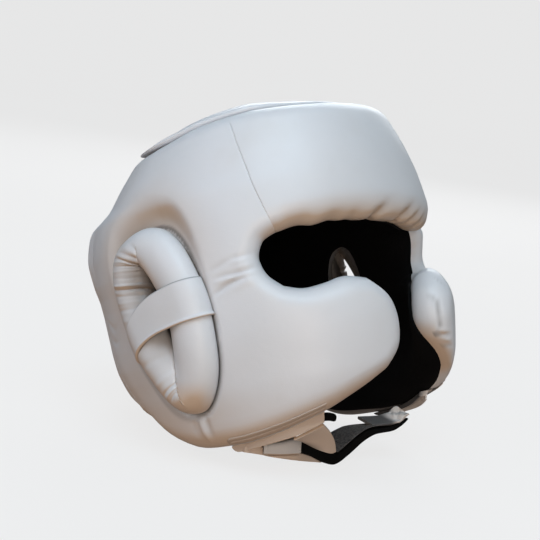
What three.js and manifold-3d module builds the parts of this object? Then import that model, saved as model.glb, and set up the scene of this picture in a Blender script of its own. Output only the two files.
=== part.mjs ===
// Padded full-face head guard for boxing, lying on its chin strap and its nape.
// Millimetres, +Z up.  The shell is drawn in the wearer's own frame, the head frame:
// X to the wearer's left, -Y the face, +Z the crown, origin between the ears.
// The whole head frame is then tipped back by PITCH and set down on the floor, z = 0.
import * as THREE from 'three';
import Module from 'manifold-3d';
import { mergeVertices } from 'three/addons/utils/BufferGeometryUtils.js';

const wasm = await Module();
wasm.setup();

// ---- driving dimensions ----
const PITCH = 23;                // degrees that the guard lies tipped back
const FLOOR_DROP = 107;          // head centre above the floor
const FORWARD = -1.98;           // shift that centres the box over the origin, along Y
const PAD = 26;                  // padding, leather to lining
const LINING = 2;                // lining cloth with its thin foam
const GAP = 0.3;                 // room between neighbouring pieces
const RIM_Z = 100;               // flat top of the padded band, above the head centre
const SHELF_Z = 60;              // seam between the upper panels and the nape pad
const SOFT_EDGE = 12.4;          // radius of a free padded edge
const SEAM_EDGE = 3;             // radius of a panel's edge at a seam
const RIM_EDGE = 8;              // radius of the outer top edge
const SQUARENESS = 2.25;         // exponent of the head-shaped section, 2 is an ellipse
const DEG = Math.PI / 180;
const MM_PER_DEGREE = 1.9;       // arc length on the shell for one degree around the head

// Half sizes of the outer surface at each height of the head frame.
const SECTIONS = [
  { z: 112, side: 67, front: 78, back: 46 },
  { z: 100, side: 81, front: 91, back: 62 },
  { z: 80, side: 92.5, front: 100, back: 79 },
  { z: 63, side: 99, front: 105, back: 95 },
  { z: 52, side: 103, front: 107, back: 115 },
  { z: 30, side: 106, front: 110, back: 122 },
  { z: 10, side: 107, front: 112, back: 122 },
  { z: -30, side: 107, front: 117, back: 117 },
  { z: -65, side: 103, front: 112, back: 101 },
  { z: -98, side: 94, front: 97, back: 82 },
];

// ---- the outer surface ----
// Slopes of a smooth curve through a column that never overshoots its rows.
function steadySlopes(rows, column) {
  const rise = [];
  for (let i = 1; i < rows.length; i++) {
    rise.push((rows[i][column] - rows[i - 1][column]) / (rows[i].z - rows[i - 1].z));
  }
  return rows.map((row, i) => {
    if (i === 0) return rise[0];
    if (i === rows.length - 1) return rise[i - 1];
    const turns = rise[i - 1] * rise[i] <= 0;
    return turns ? 0 : (2 * rise[i - 1] * rise[i]) / (rise[i - 1] + rise[i]);
  });
}

const SLOPES = {
  side: steadySlopes(SECTIONS, 'side'),
  front: steadySlopes(SECTIONS, 'front'),
  back: steadySlopes(SECTIONS, 'back'),
};

function halfSize(column, height) {
  const top = SECTIONS[0].z;
  const bottom = SECTIONS[SECTIONS.length - 1].z;
  const z = THREE.MathUtils.clamp(height, bottom, top);
  let i = 0;
  while (i < SECTIONS.length - 2 && SECTIONS[i + 1].z > z) i += 1;
  const [upper, lower] = [SECTIONS[i], SECTIONS[i + 1]];
  const span = lower.z - upper.z;
  const t = (z - upper.z) / span;
  const startSlope = SLOPES[column][i] * span;
  const endSlope = SLOPES[column][i + 1] * span;
  return (2 * t ** 3 - 3 * t ** 2 + 1) * upper[column] + (t ** 3 - 2 * t ** 2 + t) * startSlope
    + (3 * t ** 2 - 2 * t ** 3) * lower[column] + (t ** 3 - t ** 2) * endSlope;
}

function squared(value) {
  return Math.sign(value) * Math.abs(value) ** (2 / SQUARENESS);
}

// A point `depth` below the outer surface.  phi is in degrees around the head from the
// face, positive towards the wearer's right.
function skin(phi, z, depth) {
  const sine = Math.sin(phi * DEG);
  const cosine = Math.cos(phi * DEG);
  const side = halfSize('side', z) - depth;
  const reach = halfSize(cosine > 0 ? 'front' : 'back', z) - depth;
  return new THREE.Vector3(-side * squared(sine), -reach * squared(cosine), z);
}

// ---- solids ----
function flipped(triangles) {
  const turned = [];
  for (let i = 0; i < triangles.length; i += 3) {
    turned.push(triangles[i], triangles[i + 2], triangles[i + 1]);
  }
  return turned;
}

function signedVolume(positions, triangles) {
  const normal = new THREE.Vector3();
  let volume = 0;
  for (let i = 0; i < triangles.length; i += 3) {
    const [a, b, c] = [0, 1, 2].map((k) => positions[triangles[i + k]]);
    volume += normal.crossVectors(b, c).dot(a) / 6;
  }
  return volume;
}

// A closed mesh with its faces turned outwards.
function solidGeometry(positions, triangles) {
  const geometry = new THREE.BufferGeometry();
  const numbers = positions.flatMap((p) => [p.x, p.y, p.z]);
  geometry.setAttribute('position', new THREE.Float32BufferAttribute(numbers, 3));
  geometry.setIndex(signedVolume(positions, triangles) > 0 ? triangles : flipped(triangles));
  geometry.computeVertexNormals();
  return geometry;
}

function quad(a, b, c, d) {
  return [a, b, c, a, c, d];
}

// The same solid on the wearer's other side.
function mirrored(geometry) {
  const copy = geometry.clone();
  copy.scale(-1, 1, 1);
  copy.setIndex(flipped(Array.from(geometry.index.array)));
  return copy;
}

function toManifold(geometry) {
  const bare = new THREE.BufferGeometry();
  bare.setAttribute('position', geometry.getAttribute('position'));
  bare.setIndex(geometry.index);
  const merged = mergeVertices(bare, 1e-4);
  return new wasm.Manifold(new wasm.Mesh({
    numProp: 3,
    vertProperties: new Float32Array(merged.getAttribute('position').array),
    triVerts: new Uint32Array(merged.index.array),
  }));
}

function cut(body, ...cutters) {
  let solid = toManifold(body);
  for (const cutter of cutters) solid = solid.subtract(toManifold(cutter));
  const mesh = solid.getMesh();
  const geometry = new THREE.BufferGeometry();
  geometry.setAttribute('position', new THREE.Float32BufferAttribute(mesh.vertProperties, 3));
  geometry.setIndex(Array.from(mesh.triVerts));
  geometry.computeVertexNormals();
  return geometry;
}

// A closed tube of section loops: each loop joins the next, the ends are capped or, for a
// ring, the last loop joins the first.
function loft(loops, ring = false) {
  const count = loops[0].length;
  const triangles = [];
  const joins = ring ? loops.length : loops.length - 1;
  for (let i = 0; i < joins; i++) {
    const here = i * count;
    const next = ((i + 1) % loops.length) * count;
    for (let j = 0; j < count; j++) {
      const k = (j + 1) % count;
      triangles.push(...quad(here + j, next + j, next + k, here + k));
    }
  }
  if (!ring) {
    const last = (loops.length - 1) * count;
    for (let j = 1; j < count - 1; j++) {
      triangles.push(0, j, j + 1);
      triangles.push(last, last + j + 1, last + j);
    }
  }
  return solidGeometry(loops.flat(), triangles);
}

// ---- sheets: nets of quads laid out on the outer surface ----
function curve(rows) {
  const spline = new THREE.SplineCurve(rows.map((row) => new THREE.Vector2(row.phi, row.z)));
  return (t) => {
    const point = spline.getPointAt(THREE.MathUtils.clamp(t, 0, 1));
    return { phi: point.x, z: point.y };
  };
}

function blend(a, b, t) {
  return { phi: a.phi + (b.phi - a.phi) * t, z: a.z + (b.z - a.z) * t };
}

function line(a, b) {
  return (t) => blend(a, b, t);
}

// One field of a sheet: the net that four border curves span.
function field({ left, right, bottom, top, across, up }) {
  const spot = (s, t) => {
    const level = blend(bottom(s), top(s), t);
    const post = blend(left(t), right(t), s);
    const flat = blend(blend(bottom(0), bottom(1), s), blend(top(0), top(1), s), t);
    return { phi: level.phi + post.phi - flat.phi, z: level.z + post.z - flat.z };
  };
  return up.map((t) => across.map((s) => spot(s, t)));
}

const SAME_SPOT = 0.01;

function sheet(fields) {
  const spots = [];
  const quads = [];
  const place = (spot) => {
    const known = spots.findIndex((p) => Math.hypot(p.phi - spot.phi, p.z - spot.z) < SAME_SPOT);
    return known < 0 ? spots.push(spot) - 1 : known;
  };
  for (const net of fields) {
    const ids = net.map((row) => row.map(place));
    for (let i = 0; i < ids.length - 1; i++) {
      for (let j = 0; j < ids[i].length - 1; j++) {
        quads.push([ids[i][j], ids[i][j + 1], ids[i + 1][j + 1], ids[i + 1][j]]);
      }
    }
  }
  return { spots, quads };
}

function borderSteps(quads) {
  const steps = new Map();
  for (const corners of quads) {
    corners.forEach((a, i) => {
      const b = corners[(i + 1) % 4];
      if (!steps.delete(`${b} ${a}`)) steps.set(`${a} ${b}`, [a, b]);
    });
  }
  return [...steps.values()];
}

// The sheet without its outermost quads.
function inset(net) {
  const rim = new Set(borderSteps(net.quads).flat());
  const quads = net.quads.filter((corners) => !corners.some((id) => rim.has(id)));
  const kept = [...new Set(quads.flat())];
  const renumber = new Map(kept.map((id, i) => [id, i]));
  return {
    spots: kept.map((id) => net.spots[id]),
    quads: quads.map((corners) => corners.map((id) => renumber.get(id))),
  };
}

// The solid between two depths under a sheet.
function slab(net, outerDepth, innerDepth) {
  const count = net.spots.length;
  const outer = net.spots.map((spot) => skin(spot.phi, spot.z, outerDepth(spot)));
  const inner = net.spots.map((spot) => skin(spot.phi, spot.z, innerDepth(spot)));
  const triangles = [];
  for (const [a, b, c, d] of net.quads) {
    triangles.push(...quad(c, b, a, d));
    triangles.push(...quad(a + count, b + count, c + count, d + count));
  }
  for (const [a, b] of borderSteps(net.quads)) {
    triangles.push(...quad(a, b, b + count, a + count));
  }
  return solidGeometry([...outer, ...inner], triangles);
}

// ---- rounded edges ----
// A spot on the unrolled shell, in millimetres.
const flat = (spot) => new THREE.Vector2(spot.phi * MM_PER_DEGREE, spot.z);

function distanceToRun(here, { from, to }) {
  const run = to.clone().sub(from);
  const share = here.clone().sub(from).dot(run) / run.lengthSq();
  return here.distanceTo(from.clone().addScaledVector(run, THREE.MathUtils.clamp(share, 0, 1)));
}

const BORDER_SAMPLES = 24;

function borderOf(curveOf, outer, inner) {
  const runs = [];
  for (let i = 0; i < BORDER_SAMPLES; i++) {
    runs.push({
      from: flat(curveOf(i / BORDER_SAMPLES)), to: flat(curveOf((i + 1) / BORDER_SAMPLES)), outer, inner,
    });
  }
  return runs;
}

const freeEdge = (curveOf) => borderOf(curveOf, SOFT_EDGE, PAD - SOFT_EDGE - 1);
const seamEdge = (curveOf) => borderOf(curveOf, SEAM_EDGE, SEAM_EDGE);
const rimEdge = (curveOf) => borderOf(curveOf, RIM_EDGE, SEAM_EDGE);

// How far a surface has curved away at a spot, because a border is near.
function roundedOff(border, spot, which) {
  const here = flat(spot);
  let drop = 0;
  for (const run of border) {
    const radius = run[which];
    const reach = distanceToRun(here, run);
    if (reach >= radius) continue;
    drop = Math.max(drop, radius - Math.sqrt(radius ** 2 - (radius - reach) ** 2));
  }
  return drop;
}

// ---- outlines of the panels, on the wearer's right ----
const CHEEK_FRONT = curve([
  { phi: 17, z: -73 }, { phi: 11.4, z: -61 }, { phi: 10.6, z: -44 }, { phi: 13.6, z: -27 },
  { phi: 21, z: -14.5 },
]);
const CHEEK_TOP = curve([
  { phi: 21, z: -14.5 }, { phi: 29.5, z: -11.8 }, { phi: 37.5, z: -14 }, { phi: 46, z: -15 },
  { phi: 53, z: -11.5 },
]);
const CHEEK_BOTTOM = curve([
  { phi: 17, z: -73 }, { phi: 25, z: -79.5 }, { phi: 33, z: -85 }, { phi: 41, z: -90 },
  { phi: 50, z: -94 },
]);
const CHEEK_POST = line(CHEEK_BOTTOM(1), CHEEK_TOP(1));
const EYE_CORNER = curve([
  { phi: 53, z: -11.5 }, { phi: 57.6, z: -3.5 }, { phi: 58.4, z: 8 }, { phi: 56.2, z: 18.5 },
  { phi: 52, z: 27 },
]);
const JAW_BOTTOM = curve([
  { phi: 50, z: -94 }, { phi: 62, z: -98.5 }, { phi: 76, z: -102 }, { phi: 89, z: -102.5 },
  { phi: 100, z: -99.5 }, { phi: 109, z: -92.5 }, { phi: 117, z: -83 }, { phi: 123.5, z: -71 },
]);
const REAR_TOP_PHI = 132;
const JAW_LINE_Z = -8;
const BROW_Z = 27;
const REAR_LOW = curve([
  { phi: 123.5, z: -71 }, { phi: 128, z: -53 }, { phi: 131, z: -30 }, { phi: REAR_TOP_PHI, z: JAW_LINE_Z },
]);
const SEAM_FOOT = { phi: 52, z: BROW_Z };
const SEAM_HEAD = { phi: 63.7, z: RIM_Z };
const seamAt = (z) => blend(SEAM_FOOT, SEAM_HEAD, (z - BROW_Z) / (RIM_Z - BROW_Z));
const rearAt = (z) => ({ phi: REAR_TOP_PHI, z });
const BACK_MIDDLE = 179.95;
const backAt = (z) => ({ phi: BACK_MIDDLE, z });

// Steps across and up the fields, closer together towards the borders.
const FROM_EDGE = [0, 0.07, 0.2, 0.42, 0.7, 1];
const LONG_FIELD = [0, 0.035, 0.09, 0.19, 0.31, 0.43, 0.55, 0.67, 0.79, 0.9, 1];
const BOTH_EDGES = [0, 0.05, 0.16, 0.34, 0.5, 0.66, 0.84, 0.95, 1];
const SHORT_FIELD = [0, 1 / 3, 2 / 3, 1];
const BROW_FIELD = [0, 0.14, 0.4, 0.7, 1];
const UPPER_FIELD = [0, 0.25, 0.55, 0.82, 1];

// ---- side panels ----
function sidePanelSheet() {
  const jawLine = line(CHEEK_TOP(1), rearAt(JAW_LINE_Z));
  const browLine = line(SEAM_FOOT, rearAt(BROW_Z));
  const shelfLine = line(seamAt(SHELF_Z), rearAt(SHELF_Z));
  const shelf = line(rearAt(SHELF_Z), backAt(SHELF_Z));
  const rear = (low, high) => line(rearAt(low), rearAt(high));
  const seam = (low, high) => line(seamAt(low), seamAt(high));
  return sheet([
    field({ left: CHEEK_FRONT, right: CHEEK_POST, bottom: CHEEK_BOTTOM, top: CHEEK_TOP,
      across: FROM_EDGE, up: BOTH_EDGES }),
    field({ left: CHEEK_POST, right: REAR_LOW, bottom: JAW_BOTTOM, top: jawLine,
      across: LONG_FIELD, up: BOTH_EDGES }),
    field({ left: EYE_CORNER, right: rear(JAW_LINE_Z, BROW_Z), bottom: jawLine, top: browLine,
      across: LONG_FIELD, up: SHORT_FIELD }),
    field({ left: seam(BROW_Z, SHELF_Z), right: rear(BROW_Z, SHELF_Z), bottom: browLine,
      top: shelfLine, across: LONG_FIELD, up: BROW_FIELD }),
    field({ left: seam(SHELF_Z, RIM_Z), right: rear(SHELF_Z, RIM_Z), bottom: shelfLine,
      top: line(SEAM_HEAD, rearAt(RIM_Z)), across: LONG_FIELD, up: UPPER_FIELD }),
    field({ left: rear(SHELF_Z, RIM_Z), right: line(backAt(SHELF_Z), backAt(RIM_Z)), bottom: shelf,
      top: line(rearAt(RIM_Z), backAt(RIM_Z)), across: BOTH_EDGES, up: UPPER_FIELD }),
  ]);
}

const SIDE_BORDER = [
  ...freeEdge(CHEEK_FRONT),
  ...freeEdge(CHEEK_TOP),
  ...freeEdge(CHEEK_BOTTOM),
  ...freeEdge(EYE_CORNER),
  ...freeEdge(JAW_BOTTOM),
  ...seamEdge(REAR_LOW),
  ...seamEdge(line(rearAt(JAW_LINE_Z), rearAt(SHELF_Z))),
  ...seamEdge(line(SEAM_FOOT, SEAM_HEAD)),
  ...seamEdge(line(rearAt(SHELF_Z), backAt(SHELF_Z))),
  ...seamEdge(line(backAt(SHELF_Z), backAt(RIM_Z))),
  ...rimEdge(line(SEAM_HEAD, backAt(RIM_Z))),
];

// ---- ear: a padded ring in a dip of the side panel, around a through opening ----
const EAR_RING = 11.5;           // radius of the padded tube
const EAR_RING_LIFT = 1.5;       // tube centre above the outer surface
const EAR_SEAT = 9;              // depth of the dip's floor
const EAR_OPENING = 13;          // opening's edge, in from the ring's outline
const EAR_STEPS = 34;
const EAR_OUTLINE = new THREE.CatmullRomCurve3([
  { phi: 92.5, z: 41 }, { phi: 84.8, z: 28 }, { phi: 79.8, z: 2 }, { phi: 78.4, z: -26 },
  { phi: 79.6, z: -52 }, { phi: 84, z: -71 }, { phi: 90, z: -79 }, { phi: 97, z: -70 },
  { phi: 103, z: -42 }, { phi: 106, z: -14 }, { phi: 107, z: 14 }, { phi: 103, z: 33 },
].map((row) => new THREE.Vector3(row.phi * MM_PER_DEGREE, row.z, 0)), true, 'catmullrom', 0.5);

// Spots of the ear's outline, moved in towards the opening by some millimetres.
// The ring's outline moved inwards, by one distance or by one that varies with the place.
function earLoop(inwards) {
  const spots = [];
  for (let i = 0; i < EAR_STEPS; i++) {
    const point = EAR_OUTLINE.getPointAt(i / EAR_STEPS);
    const along = EAR_OUTLINE.getTangentAt(i / EAR_STEPS);
    const shift = typeof inwards === 'number' ? inwards : inwards(along);
    spots.push({
      phi: (point.x - along.y * shift) / MM_PER_DEGREE,
      z: point.y + along.x * shift,
    });
  }
  return spots;
}

const EAR_MIDDLE = { phi: 91.8, z: -18 };
const DIP_NARROW = 6;            // width of the dip's slope in front of and under the ear
const DIP_WIDE = 12;             // the same above the ear
const dipSlope = (along) => -THREE.MathUtils.lerp(DIP_NARROW, DIP_WIDE, Math.max(0, -along.x) ** 2);

// The cutter for the ring's pocket and the ear's opening.
function earCutter() {
  const steps = [
    { inwards: dipSlope, height: 30 }, { inwards: dipSlope, height: 0.8 },
    { inwards: -GAP, height: -EAR_SEAT + 2 }, { inwards: -GAP, height: -EAR_SEAT },
    { inwards: EAR_RING, height: -EAR_SEAT }, { inwards: EAR_OPENING, height: -EAR_SEAT },
    { inwards: EAR_OPENING, height: -PAD - 20 },
  ];
  return loft(steps.map((step) => earLoop(step.inwards)
    .map((spot) => skin(spot.phi, spot.z, -step.height))));
}

function earRing() {
  const sides = 12;
  const rounds = Array.from({ length: sides }, (_, j) => (j / sides) * 2 * Math.PI);
  const floor = EAR_SEAT - GAP;
  const hoops = rounds.map((angle) => earLoop(EAR_RING - EAR_RING * Math.cos(angle)).map((spot) => {
    const height = Math.max(EAR_RING_LIFT + EAR_RING * Math.sin(angle), -floor);
    return skin(spot.phi, spot.z, -height);
  }));
  return loft(hoops, true);
}

const EAR_BAND = {
  thickness: 1.8, width: 25, frontZ: -8.5, rearZ: -27.5, tuck: 10, crossSteps: 4, turnSteps: 5,
};

// Where the ring's centre line passes a height, on its front or its rear limb.
function limb(z, rear) {
  const loop = earLoop(EAR_RING);
  for (let i = 0; i < loop.length; i++) {
    const [a, b] = [loop[i], loop[(i + 1) % loop.length]];
    const crosses = (a.z - z) * (b.z - z) <= 0;
    if (crosses && a.phi > EAR_MIDDLE.phi === rear) return blend(a, b, (z - a.z) / (b.z - a.z)).phi;
  }
  throw new Error(`the ear ring does not reach ${z}`);
}

// One side of the band's path: over the front limb, across the opening, over the rear limb.
function bandPath(drop, radius) {
  const front = limb(EAR_BAND.frontZ + drop, false);
  const rear = limb(EAR_BAND.rearZ + drop, true);
  const half = radius / MM_PER_DEGREE;
  const path = [];
  for (let i = 0; i <= EAR_BAND.turnSteps; i++) {
    const angle = THREE.MathUtils.lerp(180 + EAR_BAND.tuck, 90, i / EAR_BAND.turnSteps) * DEG;
    path.push({ phi: front + half * Math.cos(angle), height: radius * Math.sin(angle) });
  }
  for (let i = 0; i <= EAR_BAND.turnSteps; i++) {
    const angle = THREE.MathUtils.lerp(90, -EAR_BAND.tuck, i / EAR_BAND.turnSteps) * DEG;
    path.push({ phi: rear + half * Math.cos(angle), height: radius * Math.sin(angle) });
  }
  const [first, last] = [path[0].phi, path[path.length - 1].phi];
  const fall = EAR_BAND.rearZ - EAR_BAND.frontZ;
  return path.map(({ phi, height }) => skin(
    phi, EAR_BAND.frontZ + drop + fall * (phi - first) / (last - first), -EAR_RING_LIFT - height));
}

function earBand() {
  const inner = EAR_RING + 1;
  const outer = inner + EAR_BAND.thickness;
  const columns = [];
  for (let k = 0; k <= EAR_BAND.crossSteps; k++) {
    const drop = EAR_BAND.width * (0.5 - k / EAR_BAND.crossSteps);
    columns.push({ under: bandPath(drop, inner), over: bandPath(drop, outer) });
  }
  const loops = columns[0].under.map((_, i) => [
    ...columns.map((column) => column.over[i]),
    ...columns.map((column) => column.under[i]).reverse(),
  ]);
  return loft(loops);
}

// ---- forehead, nape and crown ----
const seamGap = GAP / MM_PER_DEGREE;
const BROW = curve([
  { phi: -SEAM_FOOT.phi + seamGap, z: BROW_Z }, { phi: -40, z: 24.5 }, { phi: -20, z: 22.5 },
  { phi: 0, z: 21.5 }, { phi: 20, z: 22.5 }, { phi: 40, z: 24.5 },
  { phi: SEAM_FOOT.phi - seamGap, z: BROW_Z },
]);

function foreheadSheet() {
  const foot = (sign, z) => ({ phi: sign * (seamAt(z).phi - seamGap), z });
  const side = (sign, low, high) => line(foot(sign, low), foot(sign, high));
  const level = (z) => line(foot(-1, z), foot(1, z));
  const across = Array.from({ length: 19 }, (_, i) => i / 18);
  const net = sheet([
    field({ left: side(-1, BROW_Z, SHELF_Z), right: side(1, BROW_Z, SHELF_Z), bottom: BROW,
      top: level(SHELF_Z), across, up: BROW_FIELD }),
    field({ left: side(-1, SHELF_Z, RIM_Z), right: side(1, SHELF_Z, RIM_Z), bottom: level(SHELF_Z),
      top: level(RIM_Z), across, up: UPPER_FIELD }),
  ]);
  const border = [
    ...freeEdge(BROW), ...rimEdge(level(RIM_Z)), ...seamEdge(side(-1, BROW_Z, RIM_Z)),
    ...seamEdge(side(1, BROW_Z, RIM_Z)),
  ];
  return { net, border };
}

const NAPE_BOTTOM = curve([
  { phi: 123.5 + seamGap, z: -71 }, { phi: 132, z: -73 }, { phi: 144, z: -73 }, { phi: 156, z: -74 },
  { phi: 168, z: -82 }, { phi: 180, z: -84 }, { phi: 192, z: -82 }, { phi: 204, z: -74 },
  { phi: 216, z: -73 }, { phi: 228, z: -73 }, { phi: 236.5 - seamGap, z: -71 },
]);

function napeSheet() {
  const top = SHELF_Z - GAP;
  const near = (z) => ({ phi: REAR_TOP_PHI + seamGap, z });
  const far = (spot) => ({ phi: 360 - spot.phi, z: spot.z });
  const low = (t) => ({ phi: REAR_LOW(t).phi + seamGap, z: REAR_LOW(t).z });
  const farLow = (t) => far(low(t));
  const level = (z) => line(near(z), far(near(z)));
  const side = (from, to) => line(near(from), near(to));
  const farSide = (from, to) => line(far(near(from)), far(near(to)));
  const across = Array.from({ length: 17 }, (_, i) => i / 16);
  const net = sheet([
    field({ left: low, right: farLow, bottom: NAPE_BOTTOM, top: level(JAW_LINE_Z), across,
      up: BOTH_EDGES }),
    field({ left: side(JAW_LINE_Z, BROW_Z), right: farSide(JAW_LINE_Z, BROW_Z),
      bottom: level(JAW_LINE_Z), top: level(BROW_Z), across, up: SHORT_FIELD }),
    field({ left: side(BROW_Z, top), right: farSide(BROW_Z, top), bottom: level(BROW_Z),
      top: level(top), across, up: BROW_FIELD }),
  ]);
  const border = [
    ...freeEdge(NAPE_BOTTOM), ...seamEdge(low), ...seamEdge(farLow),
    ...seamEdge(side(JAW_LINE_Z, top)), ...seamEdge(farSide(JAW_LINE_Z, top)),
    ...seamEdge(level(top)),
  ];
  return { net, border };
}

const CROWN = { overlap: 9, seat: 24, edge: 4, rise: 12, thick: 11 };

// A low dome on the rim.  `heights` turns a place from the middle, 0, to the edge, 1, into
// the heights of the two faces.
function dome(edgeDepth, heights, rings, steps) {
  const circle = Array.from({ length: steps }, (_, i) => (i * 360) / steps);
  const face = (which) => rings.map((share) => circle.map((phi) => {
    const edge = skin(phi, RIM_Z, edgeDepth);
    return new THREE.Vector3(edge.x * share, edge.y * share, heights(share)[which]);
  }));
  const middle = (which) => new THREE.Vector3(0, 0, heights(0)[which]);
  const loops = [...face('top'), ...face('under').reverse()];
  const triangles = [];
  for (let i = 0; i < loops.length - 1; i++) {
    for (let j = 0; j < steps; j++) {
      const k = (j + 1) % steps;
      triangles.push(...quad(i * steps + j, i * steps + k, (i + 1) * steps + k, (i + 1) * steps + j));
    }
  }
  const top = loops.length * steps;
  const last = (loops.length - 1) * steps;
  for (let j = 0; j < steps; j++) {
    const k = (j + 1) % steps;
    triangles.push(top, k, j);
    triangles.push(top + 1, last + j, last + k);
  }
  return solidGeometry([...loops.flat(), middle('top'), middle('under')], triangles);
}

function crownTop(share) {
  return RIM_Z + GAP + CROWN.edge + CROWN.rise * (1 - share ** 2);
}

const CROWN_RINGS = [0.25, 0.5, 0.7, 0.8, 0.92, 1];
const seatShare = 0.8;
function crownHeights(share) {
  const seat = RIM_Z + GAP;
  const under = share >= seatShare ? seat : Math.max(seat, crownTop(share) - CROWN.thick);
  return { top: crownTop(share), under };
}

function crownLiningHeights(share) {
  const roof = Math.max(RIM_Z + GAP, crownTop(share) - CROWN.thick) - GAP;
  return { top: roof, under: roof - LINING };
}

// ---- binding and chin pieces ----
const WELT = { drop: 6.5, thick: 6, depth: 9 };
const WELT_EDGE = curve([
  { phi: 42, z: -90.5 }, { phi: 50, z: -94 }, { phi: 62, z: -98.5 }, { phi: 76, z: -102 },
  { phi: 86, z: -102.6 },
]);
const weltEdgeAt = (phi) => WELT_EDGE((phi - 42) / 44).z;

function weltSheet() {
  const lower = (spot, drop) => ({ phi: spot.phi, z: spot.z - drop });
  const top = (t) => lower(WELT_EDGE(t), GAP);
  const bottom = (t) => lower(WELT_EDGE(t), WELT.drop);
  const across = Array.from({ length: 11 }, (_, i) => i / 10);
  const up = [0, 1 / 3, 2 / 3, 1];
  return sheet([field({ left: line(bottom(0), top(0)), right: line(bottom(1), top(1)), bottom, top,
    across, up })]);
}

// Stations of a band in the floor frame, from the wearer's right to the left: the front edge of
// its outer face and its thickness there. `turn` swings the rear edge to the wearer's left and
// `lean` tips it down, both in degrees.
const STRAP_WIDTH = 22;
const STRAP = [
  { x: -75.4, y: -66.6, z: 21.8, thick: 4.4, turn: 32, lean: 12 },
  { x: -64, y: -73.5, z: 16.6, thick: 5.5, turn: 26, lean: 11 },
  { x: -54, y: -77, z: 13.6, thick: 7, turn: 14, lean: 10 },
  { x: -46, y: -77.5, z: 11.2, thick: 8.6, turn: 5, lean: 9 },
  { x: -36, y: -77, z: 8.8, thick: 9, turn: 0, lean: 7 },
  { x: -28, y: -76.7, z: 6.8, thick: 9, turn: 0, lean: 5 },
  { x: -22, y: -76.5, z: 5, thick: 9, turn: 0, lean: 3 },
  { x: -15, y: -77, z: 2.2, thick: 8.6, turn: 0, lean: 1 },
  { x: -10, y: -77.5, z: 0, thick: 8, turn: 0, lean: 0 },
  { x: 2, y: -79, z: 0, thick: 7.4, turn: 0, lean: 0 },
  { x: 5.5, y: -79.6, z: 2.8, thick: 6.8, turn: 0, lean: 3 },
  { x: 12, y: -81.5, z: 11.6, thick: 6, turn: 2, lean: 10 },
  { x: 20, y: -86, z: 19, thick: 5.5, turn: 5, lean: 14 },
  { x: 29, y: -91, z: 25, thick: 5.5, turn: 8, lean: 16 },
  { x: 36, y: -94.5, z: 28.4, thick: 5.5, turn: 11, lean: 18 },
  { x: 43, y: -97, z: 31.2, thick: 5.5, turn: 14, lean: 20 },
];
const BACKING = { thick: 1.8, last: 6 };
const KEEPER = { thick: 1.2, room: 0.5, first: 1, last: 2 };
const FLAP_THICK = 2.4;
const FLAP_LEFT = [
  { x: 30, y: -92.5, z: 32.6, turn: 8, lean: 16 }, { x: 35, y: -94.5, z: 35, turn: 11, lean: 18 },
  { x: 41.5, y: -96.8, z: 37.8, turn: 14, lean: 20 }, { x: 50, y: -98, z: 40.2, turn: 16, lean: 24 },
  { x: 55.4, y: -98.2, z: 42, turn: 18, lean: 30 },
];
const FLAP_LEFT_WIDTH = 18;

function finer(stations) {
  const between = stations.slice(1).flatMap((next, i) => [1 / 3, 2 / 3, 1].map((t) => {
    const mix = (key) => THREE.MathUtils.lerp(stations[i][key], next[key], t);
    return Object.fromEntries(Object.keys(next).map((key) => [key, mix(key)]));
  }));
  return [stations[0], ...between];
}

// `from` and `to` give the heights of the band's two faces over its stations.
function strip(rough, width, from, to) {
  const stations = finer(rough);
  const loops = stations.map((here, i) => {
    const before = stations[Math.max(0, i - 1)];
    const after = stations[Math.min(stations.length - 1, i + 1)];
    const along = new THREE.Vector3(after.x - before.x, after.y - before.y, after.z - before.z);
    const level = Math.cos(here.lean * DEG);
    const rear = new THREE.Vector3(
      level * Math.sin(here.turn * DEG), level * Math.cos(here.turn * DEG), -Math.sin(here.lean * DEG));
    const inward = new THREE.Vector3().crossVectors(along, rear).normalize();
    const spare = (STRAP_WIDTH - width) / 2;
    const corner = (reach, height) => new THREE.Vector3(here.x, here.y, here.z)
      .addScaledVector(rear, spare + reach).addScaledVector(inward, height);
    return [
      corner(0, from(here)), corner(width, from(here)), corner(width, to(here)), corner(0, to(here)),
    ];
  });
  return loft(loops);
}

function strapKeeper() {
  const stations = STRAP.slice(KEEPER.first, KEEPER.last + 1);
  const under = () => -GAP - BACKING.thick - KEEPER.room;
  const over = (station) => station.thick + KEEPER.room;
  const wide = STRAP_WIDTH + 2 * KEEPER.room;
  const shell = strip(stations, wide + 2 * KEEPER.thick, () => under() - KEEPER.thick,
    (station) => over(station) + KEEPER.thick);
  const beyond = (end, inner) => ({
    ...end, x: 2 * end.x - inner.x, y: 2 * end.y - inner.y, z: 2 * end.z - inner.z,
  });
  const first = beyond(stations[0], stations[1]);
  const last = beyond(stations.at(-1), stations.at(-2));
  return cut(shell, strip([first, ...stations, last], wide, under, over));
}

// Leather tongue hanging from the right cheek's binding, ruled from the binding's lower edge
// to its own free edge, which is given in the floor frame.
const TONGUE = {
  from: 62, to: 43, steps: 8,
  free: [{ x: -64, y: -80, z: 26 }, { x: -56, y: -87, z: 22.5 }, { x: -46, y: -91.5, z: 20.5 },
    { x: -38, y: -94.5, z: 21.5 }],
};

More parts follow.
